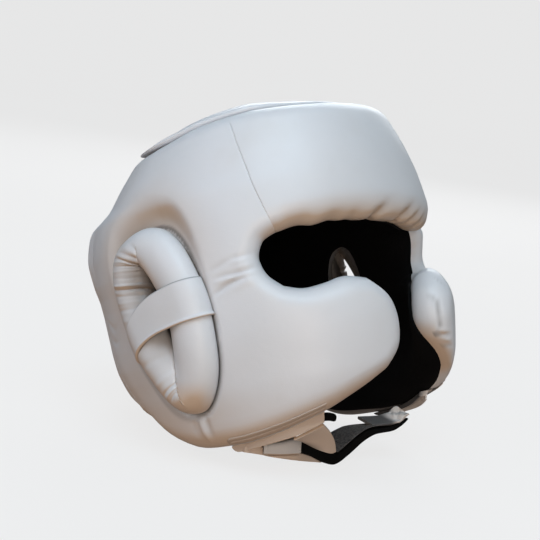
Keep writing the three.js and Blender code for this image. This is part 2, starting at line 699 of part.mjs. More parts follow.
function tongue() {
  const free = new THREE.CatmullRomCurve3(TONGUE.free.map((row) => new THREE.Vector3(row.x, row.y, row.z)));
  const upper = [];
  const lower = [];
  for (let i = 0; i <= TONGUE.steps; i++) {
    const phi = THREE.MathUtils.lerp(TONGUE.from, TONGUE.to, i / TONGUE.steps);
    const edge = weltEdgeAt(phi);
    const hang = skin(phi, edge - WELT.drop - GAP, WELT.depth + (WELT.thick - FLAP_THICK) / 2);
    upper.push(hang.applyMatrix4(head.matrix));
    lower.push(free.getPointAt(i / TONGUE.steps));
  }
  const fall = new THREE.Vector3().subVectors(lower[4], upper[4]);
  const along = new THREE.Vector3().subVectors(upper.at(-1), upper[0]);
  const inward = new THREE.Vector3().crossVectors(fall, along).normalize();
  inward.multiplyScalar(-Math.sign(inward.z) * FLAP_THICK);
  const loops = upper.map((top, i) => {
    const rows = [0, 1 / 3, 2 / 3, 1].map((t) => top.clone().lerp(lower[i], t));
    return [...rows, ...rows.map((row) => row.clone().add(inward)).reverse()];
  });
  return loft(loops);
}

// ---- putting the pieces together ----
const LEATHER = { color: 0xd9dbde, roughness: 0.42, metalness: 0 };
const LEATHER_SHADE = { color: 0xcfcac6, roughness: 0.45, metalness: 0 };
const BLACK_CLOTH = { color: 0x0c0c0e, roughness: 0.9, metalness: 0 };
const STRAP_BLACK = { color: 0x111113, roughness: 0.8, metalness: 0 };

function piece(name, geometry, finish) {
  const mesh = new THREE.Mesh(geometry, new THREE.MeshStandardMaterial(finish));
  mesh.name = name;
  return mesh;
}

const guard = new THREE.Group();
guard.position.y = FORWARD;
const head = new THREE.Group();
head.rotation.x = -PITCH * DEG;
head.position.z = FLOOR_DROP;
head.updateMatrix();
guard.add(head);

// The floor's upper side, seen from the head frame: soft edges are pressed flat against it.
function floorCutter() {
  const block = new THREE.BoxGeometry(400, 400, 40);
  block.translate(0, 0, -20);
  return block.applyMatrix4(head.matrix.clone().invert());
}

const outerOf = (border) => (spot) => roundedOff(border, spot, 'outer');
const innerOf = (border) => (spot) => PAD - roundedOff(border, spot, 'inner');
const liningOf = (border, extra) => (spot) => innerOf(border)(spot) + GAP + extra;

function padAndLining(net, border) {
  return {
    pad: slab(net, outerOf(border), innerOf(border)),
    lining: slab(inset(net), liningOf(border, 0), liningOf(border, LINING)),
  };
}

function addPair(rightName, leftName, geometry, finish) {
  head.add(piece(rightName, geometry, finish));
  head.add(piece(leftName, mirrored(geometry), finish));
}

function addShell() {
  const forehead = foreheadSheet();
  const brow = padAndLining(forehead.net, forehead.border);
  head.add(piece('forehead_pad', brow.pad, LEATHER));
  head.add(piece('lining_forehead', brow.lining, BLACK_CLOTH));
  const side = padAndLining(sidePanelSheet(), SIDE_BORDER);
  const ear = earCutter();
  addPair('side_panel_right', 'side_panel_left', cut(side.pad, ear), LEATHER);
  addPair('lining_right', 'lining_left', cut(side.lining, ear), BLACK_CLOTH);
  const nape = napeSheet();
  const back = padAndLining(nape.net, nape.border);
  head.add(piece('back_pad', cut(back.pad, floorCutter()), LEATHER));
  head.add(piece('lining_back', back.lining, BLACK_CLOTH));
  head.add(piece('crown_pad', dome(CROWN.overlap, crownHeights, CROWN_RINGS, 30), LEATHER));
  head.add(piece('lining_crown', dome(CROWN.seat + 5, crownLiningHeights, [0.35, 0.7, 1], 30),
    BLACK_CLOTH));
}

function addEars() {
  addPair('ear_ring_right', 'ear_ring_left', earRing(), LEATHER);
  addPair('ear_band_right', 'ear_band_left', earBand(), LEATHER);
}

function addChin() {
  const welt = slab(weltSheet(), () => WELT.depth, () => WELT.depth + WELT.thick);
  addPair('cheek_welt_right', 'cheek_welt_left', welt, LEATHER_SHADE);
  guard.add(piece('chin_flap_right', tongue(), LEATHER_SHADE));
  guard.add(piece('chin_flap_left', strip(FLAP_LEFT, FLAP_LEFT_WIDTH, () => 0,
    () => FLAP_THICK), LEATHER_SHADE));
  guard.add(piece('chin_strap', strip(STRAP, STRAP_WIDTH, () => 0, (station) => station.thick),
    STRAP_BLACK));
  guard.add(piece('strap_backing', strip(STRAP.slice(0, BACKING.last + 1), STRAP_WIDTH - 2,
    () => -GAP - BACKING.thick, () => -GAP), LEATHER_SHADE));
  guard.add(piece('strap_keeper', strapKeeper(), LEATHER));
}

addShell();
addEars();
addChin();

export default guard;
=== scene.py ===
"""Looks of the padded full-face head guard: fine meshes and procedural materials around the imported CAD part.

Shell shapes are drawn as in part.mjs, in millimetres and in the wearer's own frame: X to the wearer's
left, -Y the face, +Z the crown.  phi is in degrees around the head from the face, positive towards the
wearer's right, and u is phi in millimetres on the unrolled shell.
"""

import math

import bpy
import numpy as np
from mathutils import Matrix


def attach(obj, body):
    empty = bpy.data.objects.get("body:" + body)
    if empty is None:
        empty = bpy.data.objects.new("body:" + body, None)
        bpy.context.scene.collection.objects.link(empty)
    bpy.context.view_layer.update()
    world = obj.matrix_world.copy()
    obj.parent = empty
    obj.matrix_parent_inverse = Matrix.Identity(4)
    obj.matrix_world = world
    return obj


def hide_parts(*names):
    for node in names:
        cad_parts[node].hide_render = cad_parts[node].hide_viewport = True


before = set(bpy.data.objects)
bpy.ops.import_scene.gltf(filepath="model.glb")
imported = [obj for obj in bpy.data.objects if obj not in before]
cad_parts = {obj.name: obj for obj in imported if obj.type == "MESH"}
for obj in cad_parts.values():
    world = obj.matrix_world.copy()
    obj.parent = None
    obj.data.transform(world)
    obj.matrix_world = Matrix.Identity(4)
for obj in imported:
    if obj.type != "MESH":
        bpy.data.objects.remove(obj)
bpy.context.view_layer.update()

# ---------------------------------------------------------------- driving dimensions (as in the CAD)
MM = 0.001
PITCH = math.radians(23)
FLOOR_DROP = 107.0
FORWARD = -1.98
PAD = 26.0
LINING = 2.0
GAP = 0.3
RIM_Z = 100.0
SHELF_Z = 60.0
SOFT_EDGE = 12.4
SEAM_EDGE = 0.5
RIM_EDGE = 8.0
SQUARENESS = 2.25
MM_PER_DEGREE = 1.9
JAW_LINE_Z = -8.0
BROW_Z = 27.0
REAR_TOP_PHI = 132.0
BACK_MIDDLE = 179.99
SEAM_FOOT = (51.17, 21.8)
SEAM_HEAD = (63.7, 100.0)
STEP = 1.15                     # edge length of the fine nets
COARSE = 2.2                    # and of the linings
UNEVEN = 0.35                   # slow swells of the side panels' leather
BARE = 0.97                     # shade of leather that the black lining leaves bare inside
LIP = 0.4                       # flat rim between the outer and the inner rounding of a free edge
DOWN_SHADE = 1.0                      # share of painted warm shade on faces that look straight down
CORNER = 60                     # edges that turn by more degrees than this shade as corners

# the head's sections: height, half width, reach forwards and reach backwards
SECTIONS = np.array([
    [112, 67, 78, 46], [100, 81, 91, 62], [80, 92.5, 100, 79], [63, 99, 105, 95], [52, 103, 107, 115],
    [30, 106, 110, 122], [10, 107, 112, 122], [-30, 107, 117, 117], [-65, 103, 112, 101], [-98, 94, 97, 82],
], float)
SIDE, FRONT, BACK = 1, 2, 3


def hermite(a, b, slope_a, slope_b, t):
    """A cubic from a to b as t runs from 0 to 1, with its slopes at both ends."""
    return (2 * a - 2 * b + slope_a + slope_b) * t ** 3 + (3 * b - 3 * a - 2 * slope_a - slope_b) * t ** 2 \
        + slope_a * t + a


def steady_slopes(column):
    """Slopes of a smooth curve through a column that never overshoots its rows."""
    rise = np.diff(SECTIONS[:, column]) / np.diff(SECTIONS[:, 0])
    both = np.maximum(rise[:-1] * rise[1:], 0)
    middle = 2 * both / np.where(both > 0, rise[:-1] + rise[1:], 1)
    return np.concatenate([rise[:1], middle, rise[-1:]])


SLOPES = {column: steady_slopes(column) for column in (SIDE, FRONT, BACK)}


def half_size(column, height):
    """The head's half width, or its reach forwards or backwards, at a height."""
    heights, sizes, slopes = SECTIONS[:, 0], SECTIONS[:, column], SLOPES[column]
    z = np.clip(height, heights[-1], heights[0])
    i = np.clip(np.searchsorted(-heights, -z, side="right") - 1, 0, len(heights) - 2)
    span = heights[i + 1] - heights[i]
    return hermite(sizes[i], sizes[i + 1], slopes[i] * span, slopes[i + 1] * span, (z - heights[i]) / span)


def squared(value, power=2 / SQUARENESS):
    return np.sign(value) * np.abs(value) ** power


def skin(phi, z, depth):
    """Points `depth` below the outer surface, in the head frame."""
    phi, z, depth = np.broadcast_arrays(np.asarray(phi, float), np.asarray(z, float), np.asarray(depth, float))
    sine, cosine = np.sin(np.radians(phi)), np.cos(np.radians(phi))
    side = half_size(SIDE, z) - depth
    reach = np.where(cosine > 0, half_size(FRONT, z), half_size(BACK, z)) - depth
    return np.stack([-side * squared(sine), -reach * squared(cosine), z], -1)


def to_floor(points):
    """Head frame to floor frame, both in millimetres."""
    c, s = math.cos(PITCH), math.sin(PITCH)
    x, y, z = points[..., 0], points[..., 1], points[..., 2]
    return np.stack([x, y * c + z * s + FORWARD, -y * s + z * c + FLOOR_DROP], -1)


def read(table, x, column=1):
    """A column of a table at some values of its first column."""
    return np.interp(x, table[:, 0], table[:, column])


def from_face(phi):
    return np.abs((np.asarray(phi, float) + 180) % 360 - 180)


def turn_of(points):
    """Degrees from the face, and the distance from the head's axis."""
    return np.degrees(np.abs(np.arctan2(points[:, 0], -points[:, 1]))), np.hypot(points[:, 0], points[:, 1])


# how far the outer surface is drawn in beside the nape, by height
HOLLOW = np.array([[-75, 0], [-65, -0.5], [-55, -0.9], [-45, -0.4], [-35, 0.9], [-25, 1.5], [-15, 2], [-5, 2.3],
                   [5, 1.9], [15, 0.6], [30, 0]], float)
HOLLOW_PHI, HOLLOW_SPREAD = 140, 24


def hollow(phi, z):
    return read(HOLLOW, z) * bump(from_face(phi) - HOLLOW_PHI, HOLLOW_SPREAD)


# ---------------------------------------------------------------- curves and nets on the shell
def catmull_rom(points, count, closed=False):
    """A smooth curve through points."""
    points = np.asarray(points, float)
    n = len(points)
    spans = n if closed else n - 1
    t = np.linspace(0, spans, count)
    i = np.minimum(t.astype(int), spans - 1)
    w = (t - i)[:, None]

    def at(k):
        return points[k % n] if closed else points[np.clip(k, 0, n - 1)]
    p0, p1, p2, p3 = at(i - 1), at(i), at(i + 1), at(i + 2)
    return hermite(p1, p2, (p2 - p0) / 2, (p3 - p1) / 2, w)


def columns_at(x, marks, table):
    """Each column of a table, read between its marks."""
    return np.stack([np.interp(x, marks, column) for column in table.T], -1)


def unit(vectors):
    return vectors / np.linalg.norm(vectors, axis=-1, keepdims=True)


def run_of(samples):
    """The length of a polyline up to each of its points."""
    return np.concatenate([[0], np.cumsum(np.linalg.norm(np.diff(samples, axis=0), axis=1))])


def by_length(samples, t):
    """Points at shares `t` of a polyline's length."""
    run = run_of(samples)
    return columns_at(np.clip(t, 0, 1) * run[-1], run, samples)


def curve(*rows):
    samples = catmull_rom(rows, 400)
    return lambda t: by_length(samples, t)


def line(a, b):
    a, b = np.asarray(a, float), np.asarray(b, float)
    return lambda t: a + (b - a) * np.asarray(t, float)[..., None]


def graded(length, start, end, step=STEP):
    """Shares along a field's side: close together where a border rounds off, even elsewhere."""
    def rounding(radius):
        angles = [0, 10, 20, 31, 42, 53, 64, 76, 90] if radius > SEAM_EDGE else [0, 40, 90] if radius else [0]
        return radius * (1 - np.cos(np.radians(angles)))
    head, tail = rounding(start), length - rounding(end)[::-1]
    count = max(1, round((tail[0] - head[-1]) / step))
    return np.concatenate([head, np.linspace(head[-1], tail[0], count + 1)[1:-1], tail]) / length


def field(left, right, bottom, top, across, up):
    """The net that four border curves span: an array of (phi, z), rows going up."""
    low, high = bottom(across), top(across)
    lefts, rights = left(up), right(up)
    s, t = across[None, :, None], up[:, None, None]
    level = low[None] * (1 - t) + high[None] * t
    post = lefts[:, None] * (1 - s) + rights[:, None] * s
    ends = (low[0] * (1 - s) + low[-1] * s) * (1 - t) + (high[0] * (1 - s) + high[-1] * s) * t
    return level + post - ends


def sheet_of(nets):
    """Fields joined into one sheet: its spots and its quads."""
    spots, quads, start = [], [], 0
    for net in nets:
        rows, columns = net.shape[:2]
        ids = start + np.arange(rows * columns).reshape(rows, columns)
        quads.append(np.stack([ids[:-1, :-1], ids[:-1, 1:], ids[1:, 1:], ids[1:, :-1]], -1).reshape(-1, 4))
        spots.append(net.reshape(-1, 2))
        start += rows * columns
    spots, quads = np.concatenate(spots), np.concatenate(quads)
    keys = np.round((spots + 0.00137) * [200, 100]).astype(np.int64)
    _, first, inverse = np.unique(keys, axis=0, return_index=True, return_inverse=True)
    return spots[first], inverse.reshape(-1)[quads]


def border_steps(quads):
    edges = np.stack([quads, np.roll(quads, -1, axis=1)], -1).reshape(-1, 2)
    ordered = np.sort(edges, axis=1)
    _, inverse, counts = np.unique(ordered, axis=0, return_inverse=True, return_counts=True)
    return edges[counts[inverse.reshape(-1)] == 1]


def used_only(spots, quads):
    kept = np.unique(quads)
    renumber = np.full(len(spots), -1)
    renumber[kept] = np.arange(len(kept))
    return spots[kept], renumber[quads]


def inset(spots, quads, rings):
    """The sheet without its outermost rings of quads."""
    for _ in range(rings):
        rim = np.zeros(len(spots), bool)
        rim[border_steps(quads).reshape(-1)] = True
        quads = quads[~rim[quads].any(axis=1)]
        spots, quads = used_only(spots, quads)
    return spots, quads


# ---------------------------------------------------------------- distances on the unrolled shell
def unrolled(spots):
    return np.asarray(spots, float) * [MM_PER_DEGREE, 1]


def distance_to(line_points, here):
    """Distance from each place to a polyline, and the share of its length there."""
    a, b = line_points[:-1], line_points[1:]
    run = b - a
    length = np.maximum((run ** 2).sum(1), 1e-9)
    starts = np.concatenate([[0], np.cumsum(np.sqrt(length))])
    best, share = np.full(len(here), 1e9), np.zeros(len(here))
    for k in range(len(a)):
        t = np.clip(((here - a[k]) @ run[k]) / length[k], 0, 1)
        gap = np.linalg.norm(here - a[k] - t[:, None] * run[k], axis=1)
        nearer = gap < best
        best = np.where(nearer, gap, best)
        share = np.where(nearer, (starts[k] + t * math.sqrt(length[k])) / starts[-1], share)
    return best, share


def inside(outline, here):
    """Whether each place lies inside a closed outline."""
    x, y = here[:, 0], here[:, 1]
    hit = np.zeros(len(here), bool)
    for (x0, y0), (x1, y1) in zip(outline, np.roll(outline, -1, axis=0)):
        crosses = (y0 > y) != (y1 > y)
        with np.errstate(divide="ignore", invalid="ignore"):
            at = (x1 - x0) * (y - y0) / (y1 - y0) + x0
        hit ^= crosses & (x < at)
    return hit


def smooth(t):
    t = np.clip(t, 0, 1)
    return t * t * (3 - 2 * t)


def bump(distance, width):
    return np.exp(-(distance / width) ** 2)


def fold(here, points, height, width):
    """A ridge, or with a negative height a groove, that fades out at both its ends."""
    path = catmull_rom(unrolled(points), 24)
    gap, share = distance_to(path, here)
    return height * bump(gap, width) * np.sin(np.pi * np.clip(share, 0.02, 0.98)) ** 0.7


def varied(value, share):
    """A number, or numbers spread evenly over a run, at a share of the run's length."""
    return np.interp(share, np.linspace(0, 1, len(value)), value) if isinstance(value, tuple) else value


class Border:
    """Rounded edges of a pad: border curves with the depths of their outer and inner rounding, and its width."""

    def __init__(self):
        self.runs = []

    def add(self, curve_of, outer, inner, reach=None):
        self.runs.append((unrolled(curve_of(np.linspace(0, 1, 60))), outer, inner, reach or outer))
        return self

    def free(self, curve_of, outer=(SOFT_EDGE,), reach=None):
        return self.add(curve_of, outer, tuple(PAD - depth - LIP for depth in outer), reach)

    def seam(self, *curves):
        for curve_of in curves:
            self.add(curve_of, SEAM_EDGE, SEAM_EDGE)
        return self

    def rim(self, curve_of):
        return self.add(curve_of, RIM_EDGE, SEAM_EDGE)

    def drops(self, here):
        """How far the outer and the inner face have curved away, and the distance to the outline."""
        outer, inner = np.zeros(len(here)), np.zeros(len(here))
        nearest = np.full(len(here), 1e9)
        for path, outer_depth, inner_depth, reach in self.runs:
            gap, share = distance_to(path, here)
            nearest = np.minimum(nearest, gap)
            for drop, depth, width in ((outer, outer_depth, reach), (inner, inner_depth, inner_depth)):
                near = np.clip(1 - gap / varied(width, share), 0, 1)
                np.maximum(drop, varied(depth, share) * (1 - np.sqrt(1 - near ** 2)), out=drop)
        return outer, inner, nearest


# ---------------------------------------------------------------- mesh building
def vertex_normals(points, quads):
    a, b, c, d = (points[quads[:, k]] for k in range(4))
    face = np.cross(c - a, d - b)
    normals = np.zeros_like(points)
    for k in range(4):
        np.add.at(normals, quads[:, k], face)
    return normals / np.maximum(np.linalg.norm(normals, axis=1, keepdims=True), 1e-12)


def volume_of(points, faces):
    total = 0.0
    for corners in faces:
        for k in range(1, corners.shape[1] - 1):
            a, b, c = points[corners[:, 0]], points[corners[:, k]], points[corners[:, k + 1]]
            total += (np.cross(b, c) * a).sum() / 6
    return total


def underside(mesh, down_shade):
    """Painted warm shade at each point, more the more its face turns to the ground."""
    normal = np.zeros(len(mesh.vertices) * 3)
    mesh.vertex_normals.foreach_get("vector", normal)
    return down_shade * smooth((-normal[2::3] - 0.07) / 0.58)


def shown(name, points, faces, material):
    """A smooth mesh object in the scene, from points in metres."""
    mesh = bpy.data.meshes.new(name)
    mesh.from_pydata(points.tolist(), [], [corners.tolist() for f in faces for corners in f])
    mesh.validate()
    mesh.polygons.foreach_set("use_smooth", np.ones(len(mesh.polygons), bool))
    mesh.materials.append(material)
    obj = bpy.data.objects.new(name, mesh)
    bpy.context.scene.collection.objects.link(obj)
    return obj


def piece(name, points, faces, material, stands_for="", tint=None, shade=None, down_shade=DOWN_SHADE):
    """A shown piece from points in the floor frame, in millimetres, and lists of faces.

    `tint` is each point's painted warm shade, more where it faces down; `shade` darkens it, mostly as painted
    shade.
    """
    if volume_of(points, faces) < 0:
        faces = [f[:, ::-1] for f in faces]
    obj = shown(name, points * MM, faces, material)
    mesh = obj.data
    mesh.set_sharp_from_angle(angle=math.radians(CORNER))
    if tint is not None:
        # faces turned to the ground get more painted warm shade
        tint = np.maximum(tint, 0) + underside(mesh, down_shade)
    for title, values in (("wear", tint), ("shade", shade)):
        if values is not None:
            attribute = mesh.attributes.new(title, "FLOAT", "POINT")
            attribute.data.foreach_set("value", np.asarray(values, np.float32))
    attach(obj, "root")
    if stands_for:
        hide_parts(stands_for)
    return obj


def slab(quads, count):
    """Faces of a closed slab whose outer points come first and inner points after them."""
    rim = border_steps(quads)
    walls = np.stack([rim[:, 0], rim[:, 1], rim[:, 1] + count, rim[:, 0] + count], -1)
    return [quads[:, ::-1], quads + count, walls]


def loft(loops, ring=False, capped=True):
    """Faces between equal loops of points, laid one after another."""
    rows, count = loops.shape[:2]
    i = np.arange(rows if ring else rows - 1)[:, None]
    j = np.arange(count)[None, :]
    k = (j + 1) % count
    here, following = i * count, ((i + 1) % rows) * count
    faces = [np.stack([here + j, following + j, following + k, here + k], -1).reshape(-1, 4)]
    if not ring and capped:
        last = (rows - 1) * count
        faces.append(np.arange(count)[None, ::-1])
        faces.append(np.arange(last, last + count)[None, :])
    return loops.reshape(-1, 3), faces


SIDES = ("right", "left")


def on_side(points, side):
    """Points drawn for the wearer's right, on the side asked for."""
    return points if side == "right" else points * [-1, 1, 1]


# ---------------------------------------------------------------- materials
def node(tree, kind, inputs=(), **settings):
    """A new node: `inputs` gives its sockets numbers, colours or other nodes' outputs."""
    made = tree.nodes.new("ShaderNode" + kind)
    for key, value in settings.items():
        setattr(made, key, value)
    fill(tree, made, inputs)
    return made


def fill(tree, made, inputs):
    for key, value in dict(inputs).items():
        if isinstance(value, bpy.types.NodeSocket):
            tree.links.new(value, made.inputs[key])
        else:
            made.inputs[key].default_value = value


def colour_ramp(tree, source, stops):
    made = node(tree, "ValToRGB", {"Fac": source})
    elements = made.color_ramp.elements
    while len(elements) < len(stops):
        elements.new(0.5)
    for element, (position, colour) in zip(elements, stops):
        element.position, element.color = position, (*colour, 1)
    return made.outputs["Color"]


class Finish:
    """A procedural material: a Principled shader with colour, roughness and bump from noise."""

    def __init__(self, name):
        self.material = bpy.data.materials.new(name)
        self.material.use_nodes = True
        self.tree = self.material.node_tree
        self.shader = self.tree.nodes["Principled BSDF"]
        self.place = self.new("TexCoord", "Object")

    def new(self, kind, output, inputs=(), **settings):
        return node(self.tree, kind, inputs, **settings).outputs[output]

    def noise(self, scale, detail, stretch=None):
        place = self.new("Mapping", "Vector", {"Scale": stretch, "Vector": self.place}) if stretch else self.place
        return self.new("TexNoise", "Fac", {"Scale": scale, "Detail": detail, "Vector": place})

    def cells(self, scale):
        return self.new("TexVoronoi", "Distance", {"Scale": scale, "Vector": self.place},
                        feature="DISTANCE_TO_EDGE")

    def ramp(self, source, low, high, start=0.3, end=0.7):
        """A value or a colour that runs from low to high as the source rises from start to end."""
        if isinstance(low, tuple):
            return colour_ramp(self.tree, source, [(start, low), (end, high)])
        return self.new("MapRange", "Result", {"Value": source, "From Min": start, "From Max": end,
                                               "To Min": low, "To Max": high})

    def mixed(self, factor, tone, colour):
        """A tone that turns to a plain colour as the factor rises."""
        return self.new("Mix", 2, {0: factor, 6: tone, 7: (*colour, 1)}, data_type="RGBA")

    def attribute(self, name):
        return self.new("Attribute", "Fac", attribute_name=name)

    def bump_from(self, source, distance, strength):
        """Adds relief over what is there already."""
        inputs = {"Strength": strength, "Distance": distance, "Height": source}
        for link in self.shader.inputs["Normal"].links:
            inputs["Normal"] = link.from_socket
        self.set(Normal=self.new("Bump", "Normal", inputs))

    def set(self, **values):
        fill(self.tree, self.shader, {key.replace("_", " "): value for key, value in values.items()})


def leather(name, light, dark, faint, warm, gloss=(0.29, 0.43)):
    """Coated leather: fine pebbled grain, soft sheen, slightly uneven colour, and painted warm and dark shade
    from the points.
    """
    made = Finish(name)
    tone = made.ramp(made.noise(9, 4), dark, light, 0.32, 0.62)
    tone = made.mixed(made.ramp(made.noise(26, 5), 0.0, 0.22, 0.52, 0.8), tone, faint)
    # painted shade: the points' warm attribute tints the tone tan and their shade attribute darkens it
    tone = made.mixed(made.ramp(made.attribute("wear"), 0.0, 1.0, 0.0, 1.0), tone, warm)
    made.set(Base_Color=made.mixed(made.attribute("shade"), tone, PAINTED_SHADE), Sheen_Roughness=0.5, Sheen_Weight=0.06,
             Roughness=made.ramp(made.noise(40, 4), *gloss), Specular_IOR_Level=0.42)
    made.bump_from(made.noise(95, 3), 0.0006, 0.35)
    made.bump_from(made.cells(900), 0.00012, 0.45)
    made.bump_from(made.noise(2600, 2), 0.00005, 0.35)
    return made.material


def cloth(name, light, dark, scale=900, rough=0.95, depth=0.0002, gleam=0.12, lint=0.08):
    """Woven cloth: crossed threads and a little lint."""
    made = Finish(name)
    made.set(Base_Color=made.ramp(made.noise(30, 5), dark, light, 0.35), Sheen_Roughness=0.6, Sheen_Weight=lint,
             Roughness=made.ramp(made.noise(120, 3), rough - 0.1, rough), Specular_IOR_Level=gleam)
    for squeeze in ((1, 0.12, 0.12), (0.12, 1, 0.12)):
        made.bump_from(made.noise(scale, 1, squeeze), depth, 0.5)
    return made.material


def fuzz(name, light, dark):
    """The loop side of a touch fastener: short matted pile."""
    made = Finish(name)
    made.set(Base_Color=made.ramp(made.noise(700, 4), dark, light, 0.35, 0.65), Specular_IOR_Level=0.1,
             Roughness=made.ramp(made.noise(300, 2), 0.85, 1.0), Sheen_Roughness=0.4, Sheen_Weight=0.25)
    made.bump_from(made.noise(900, 3), 0.0008, 0.7)
    made.bump_from(made.noise(2500, 2), 0.0003, 0.5)
    return made.material


# the near-black that painted shade darkens leather towards
PAINTED_SHADE = (0.04, 0.038, 0.038)
WHITE = leather("white_leather", (0.72, 0.735, 0.77), (0.67, 0.685, 0.715), (0.60, 0.57, 0.54),
                (0.61, 0.465, 0.35))
# the trim is the white leather made a little greyer and warmer as painted shade for the pieces low at the chin,
# and rougher
TRIM = leather("trim_leather", (0.70, 0.70, 0.71), (0.63, 0.625, 0.62), (0.56, 0.53, 0.50),
               (0.52, 0.365, 0.25), (0.42, 0.56))
BLACK = cloth("lining_cloth", (0.0045, 0.0045, 0.005), (0.0025, 0.0025, 0.003), gleam=0.04, lint=0.01)
WEB = cloth("strap_webbing", (0.0040, 0.0038, 0.0038), (0.002, 0.002, 0.002), 700, 0.9, 0.0004, gleam=0.05,
            lint=0.01)
LOOP = fuzz("strap_loop", (0.125, 0.122, 0.125), (0.050, 0.049, 0.051))
THREAD = cloth("sewing_thread", (0.62, 0.61, 0.60), (0.5, 0.48, 0.46), 3000, 0.7, 0.0001)

# ---------------------------------------------------------------- outlines, on the wearer's right
CHEEK_FRONT = curve((17, -73), (11.4, -61), (10.6, -44), (13.6, -27), (21, -14.5))
CHEEK_TOP = curve((21, -14.5), (29.5, -11.8), (37.5, -14), (46, -15), (53, -11.5))
CHEEK_BOTTOM = curve((17, -73), (25, -79.5), (33, -85), (41, -90), (50, -94))
EYE_CORNER = curve((53, -11.5), (57.6, -3.5), (59.3, 5), (59, 11), (56.7, 17.6), (54, 20.2), SEAM_FOOT)
JAW_BOTTOM = curve((50, -94), (62, -98.5), (76, -102), (89, -102.5), (100, -101.5), (109, -98), (117, -91.5),
                   (123.5, -80))
# the far side is softer: its cheek tapers to the jaw and to the top, and its eye corner lies farther forward
FAR_FRONT = curve((27, -77), (20.5, -68.5), (14, -57), (11.2, -44), (13.6, -27), (21, -14.5))
FAR_BOTTOM = curve((27, -77), (33, -83), (41, -89), (50, -94))
FAR_EYE = curve((53, -11.5), (55.6, -4), (53.4, 4), (50.8, 11), (50, 16), SEAM_FOOT)
RIGHT_EDGES = (CHEEK_FRONT, CHEEK_TOP, CHEEK_BOTTOM, EYE_CORNER)
LEFT_EDGES = (FAR_FRONT, CHEEK_TOP, FAR_BOTTOM, FAR_EYE)
# where the far side's lining ends
FAR_LINED = (curve((27.3, -77), (20.9, -68.5), (15, -57), (14.2, -44), (18.4, -30), (27, -22)),
             curve((27, -22), (33, -20), (40, -19.5), (47, -17), (53, -11.5)), FAR_BOTTOM, FAR_EYE)
FAR_JAW_LINED = curve((50, -94), (62, -98.5), (76, -100.5), (89, -99), (100, -97.5), (109, -94.8), (117, -89.5),
                      (123.5, -80))
REAR_LOW = curve((123.5, -80), (128, -53), (131, -30), (REAR_TOP_PHI, JAW_LINE_Z))
CHEEK_END, EYE_FOOT, SEAM_Z = (50, -94), (53, -11.5), SEAM_FOOT[1]


def seam_at(z):
    t = (z - SEAM_Z) / (RIM_Z - SEAM_Z)
    return (SEAM_FOOT[0] + (SEAM_HEAD[0] - SEAM_FOOT[0]) * t, z)


def rear_at(z):
    return (REAR_TOP_PHI, z)


def back_at(z):
    return (BACK_MIDDLE, z)


def upright(place, low, high):
    return line(place(low), place(high))


def side_panel_net(front, top, bottom, eye, step=STEP, jaw=JAW_BOTTOM):
    """A side panel's net in six fields: cheek, jaw, beside the eye, brow, over the ear, and over the back."""
    post = line(CHEEK_END, EYE_FOOT)
    jaw_line = line(EYE_FOOT, rear_at(JAW_LINE_Z))
    brow_line = line(SEAM_FOOT, rear_at(BROW_Z))
    shelf_line = line(seam_at(SHELF_Z), rear_at(SHELF_Z))
    cheek_up = graded(70, SOFT_EDGE, SOFT_EDGE, step)
    long = graded(146, SOFT_EDGE, SEAM_EDGE, step)
    upper = graded(40, SEAM_EDGE, RIM_EDGE, step)
    return sheet_of([
        field(front, post, bottom, top, graded(66, SOFT_EDGE, 0, step), cheek_up),
        field(post, REAR_LOW, jaw, jaw_line, long, cheek_up),
        field(eye, upright(rear_at, JAW_LINE_Z, BROW_Z), jaw_line, brow_line, long, graded(37, 0, 0, step)),
        field(upright(seam_at, SEAM_Z, SHELF_Z), upright(rear_at, BROW_Z, SHELF_Z), brow_line, shelf_line, long,
              graded(33, 0, 0, step)),
        field(upright(seam_at, SHELF_Z, RIM_Z), upright(rear_at, SHELF_Z, RIM_Z), shelf_line,
              line(SEAM_HEAD, rear_at(RIM_Z)), long, upper),
        field(upright(rear_at, SHELF_Z, RIM_Z), upright(back_at, SHELF_Z, RIM_Z),
              line(rear_at(SHELF_Z), back_at(SHELF_Z)), line(rear_at(RIM_Z), back_at(RIM_Z)),
              graded(91, 0, SEAM_EDGE, step), upper),
    ])


def side_border(edges, roundings):
    """Border of a side panel: its free edges with their roundings, then the seams and the crown's rim."""
    border = Border()
    for edge, rounding in zip((*edges, JAW_BOTTOM), roundings):
        border.free(edge, *rounding)
    border.seam(REAR_LOW, upright(rear_at, JAW_LINE_Z, SHELF_Z), line(SEAM_FOOT, SEAM_HEAD),
                line(rear_at(SHELF_Z), back_at(SHELF_Z)), upright(back_at, SHELF_Z, RIM_Z))
    return border.rim(line(SEAM_HEAD, back_at(RIM_Z)))


ROUND = (SOFT_EDGE,)
RIGHT_BORDER = side_border(RIGHT_EDGES, [(ROUND,)] * 5)
LEFT_BORDER = side_border(LEFT_EDGES, [
    ((3.5, 6.0, 10.5, 12.4, 12.4, 12.4), (4.5, 7.0, 11.0, 13.0, 16.0, 21.0)), (ROUND, (22.0, 34.0, 30.0, 13.0)),
    ((3.5, 3.5, 5.0),), ((12.4, 9.0, 8.4, 8.4, 8.4),), ((5.0, 8.0, 11.0, 12.4, 12.4),)])

# ---------------------------------------------------------------- ear
EAR_RING = 11.5                 # radius of the tube
EAR_RING_LIFT = 1.5             # its centre line over the panel
EAR_SEAT = 9.0                  # how deep its flat underside sits in the panel
EAR_KNOTS = [(92.5, 41), (84.8, 28), (79.8, 2), (78.4, -26), (79.6, -52), (84, -71), (90, -79), (97, -70),
             (103, -42), (106, -14), (107, 14), (103, 33)]
EAR_OUTLINE = by_length(catmull_rom(unrolled(EAR_KNOTS), 1200, closed=True), np.arange(360) / 360)
EAR_MIDDLE = unrolled([(91.8, -18)])[0]


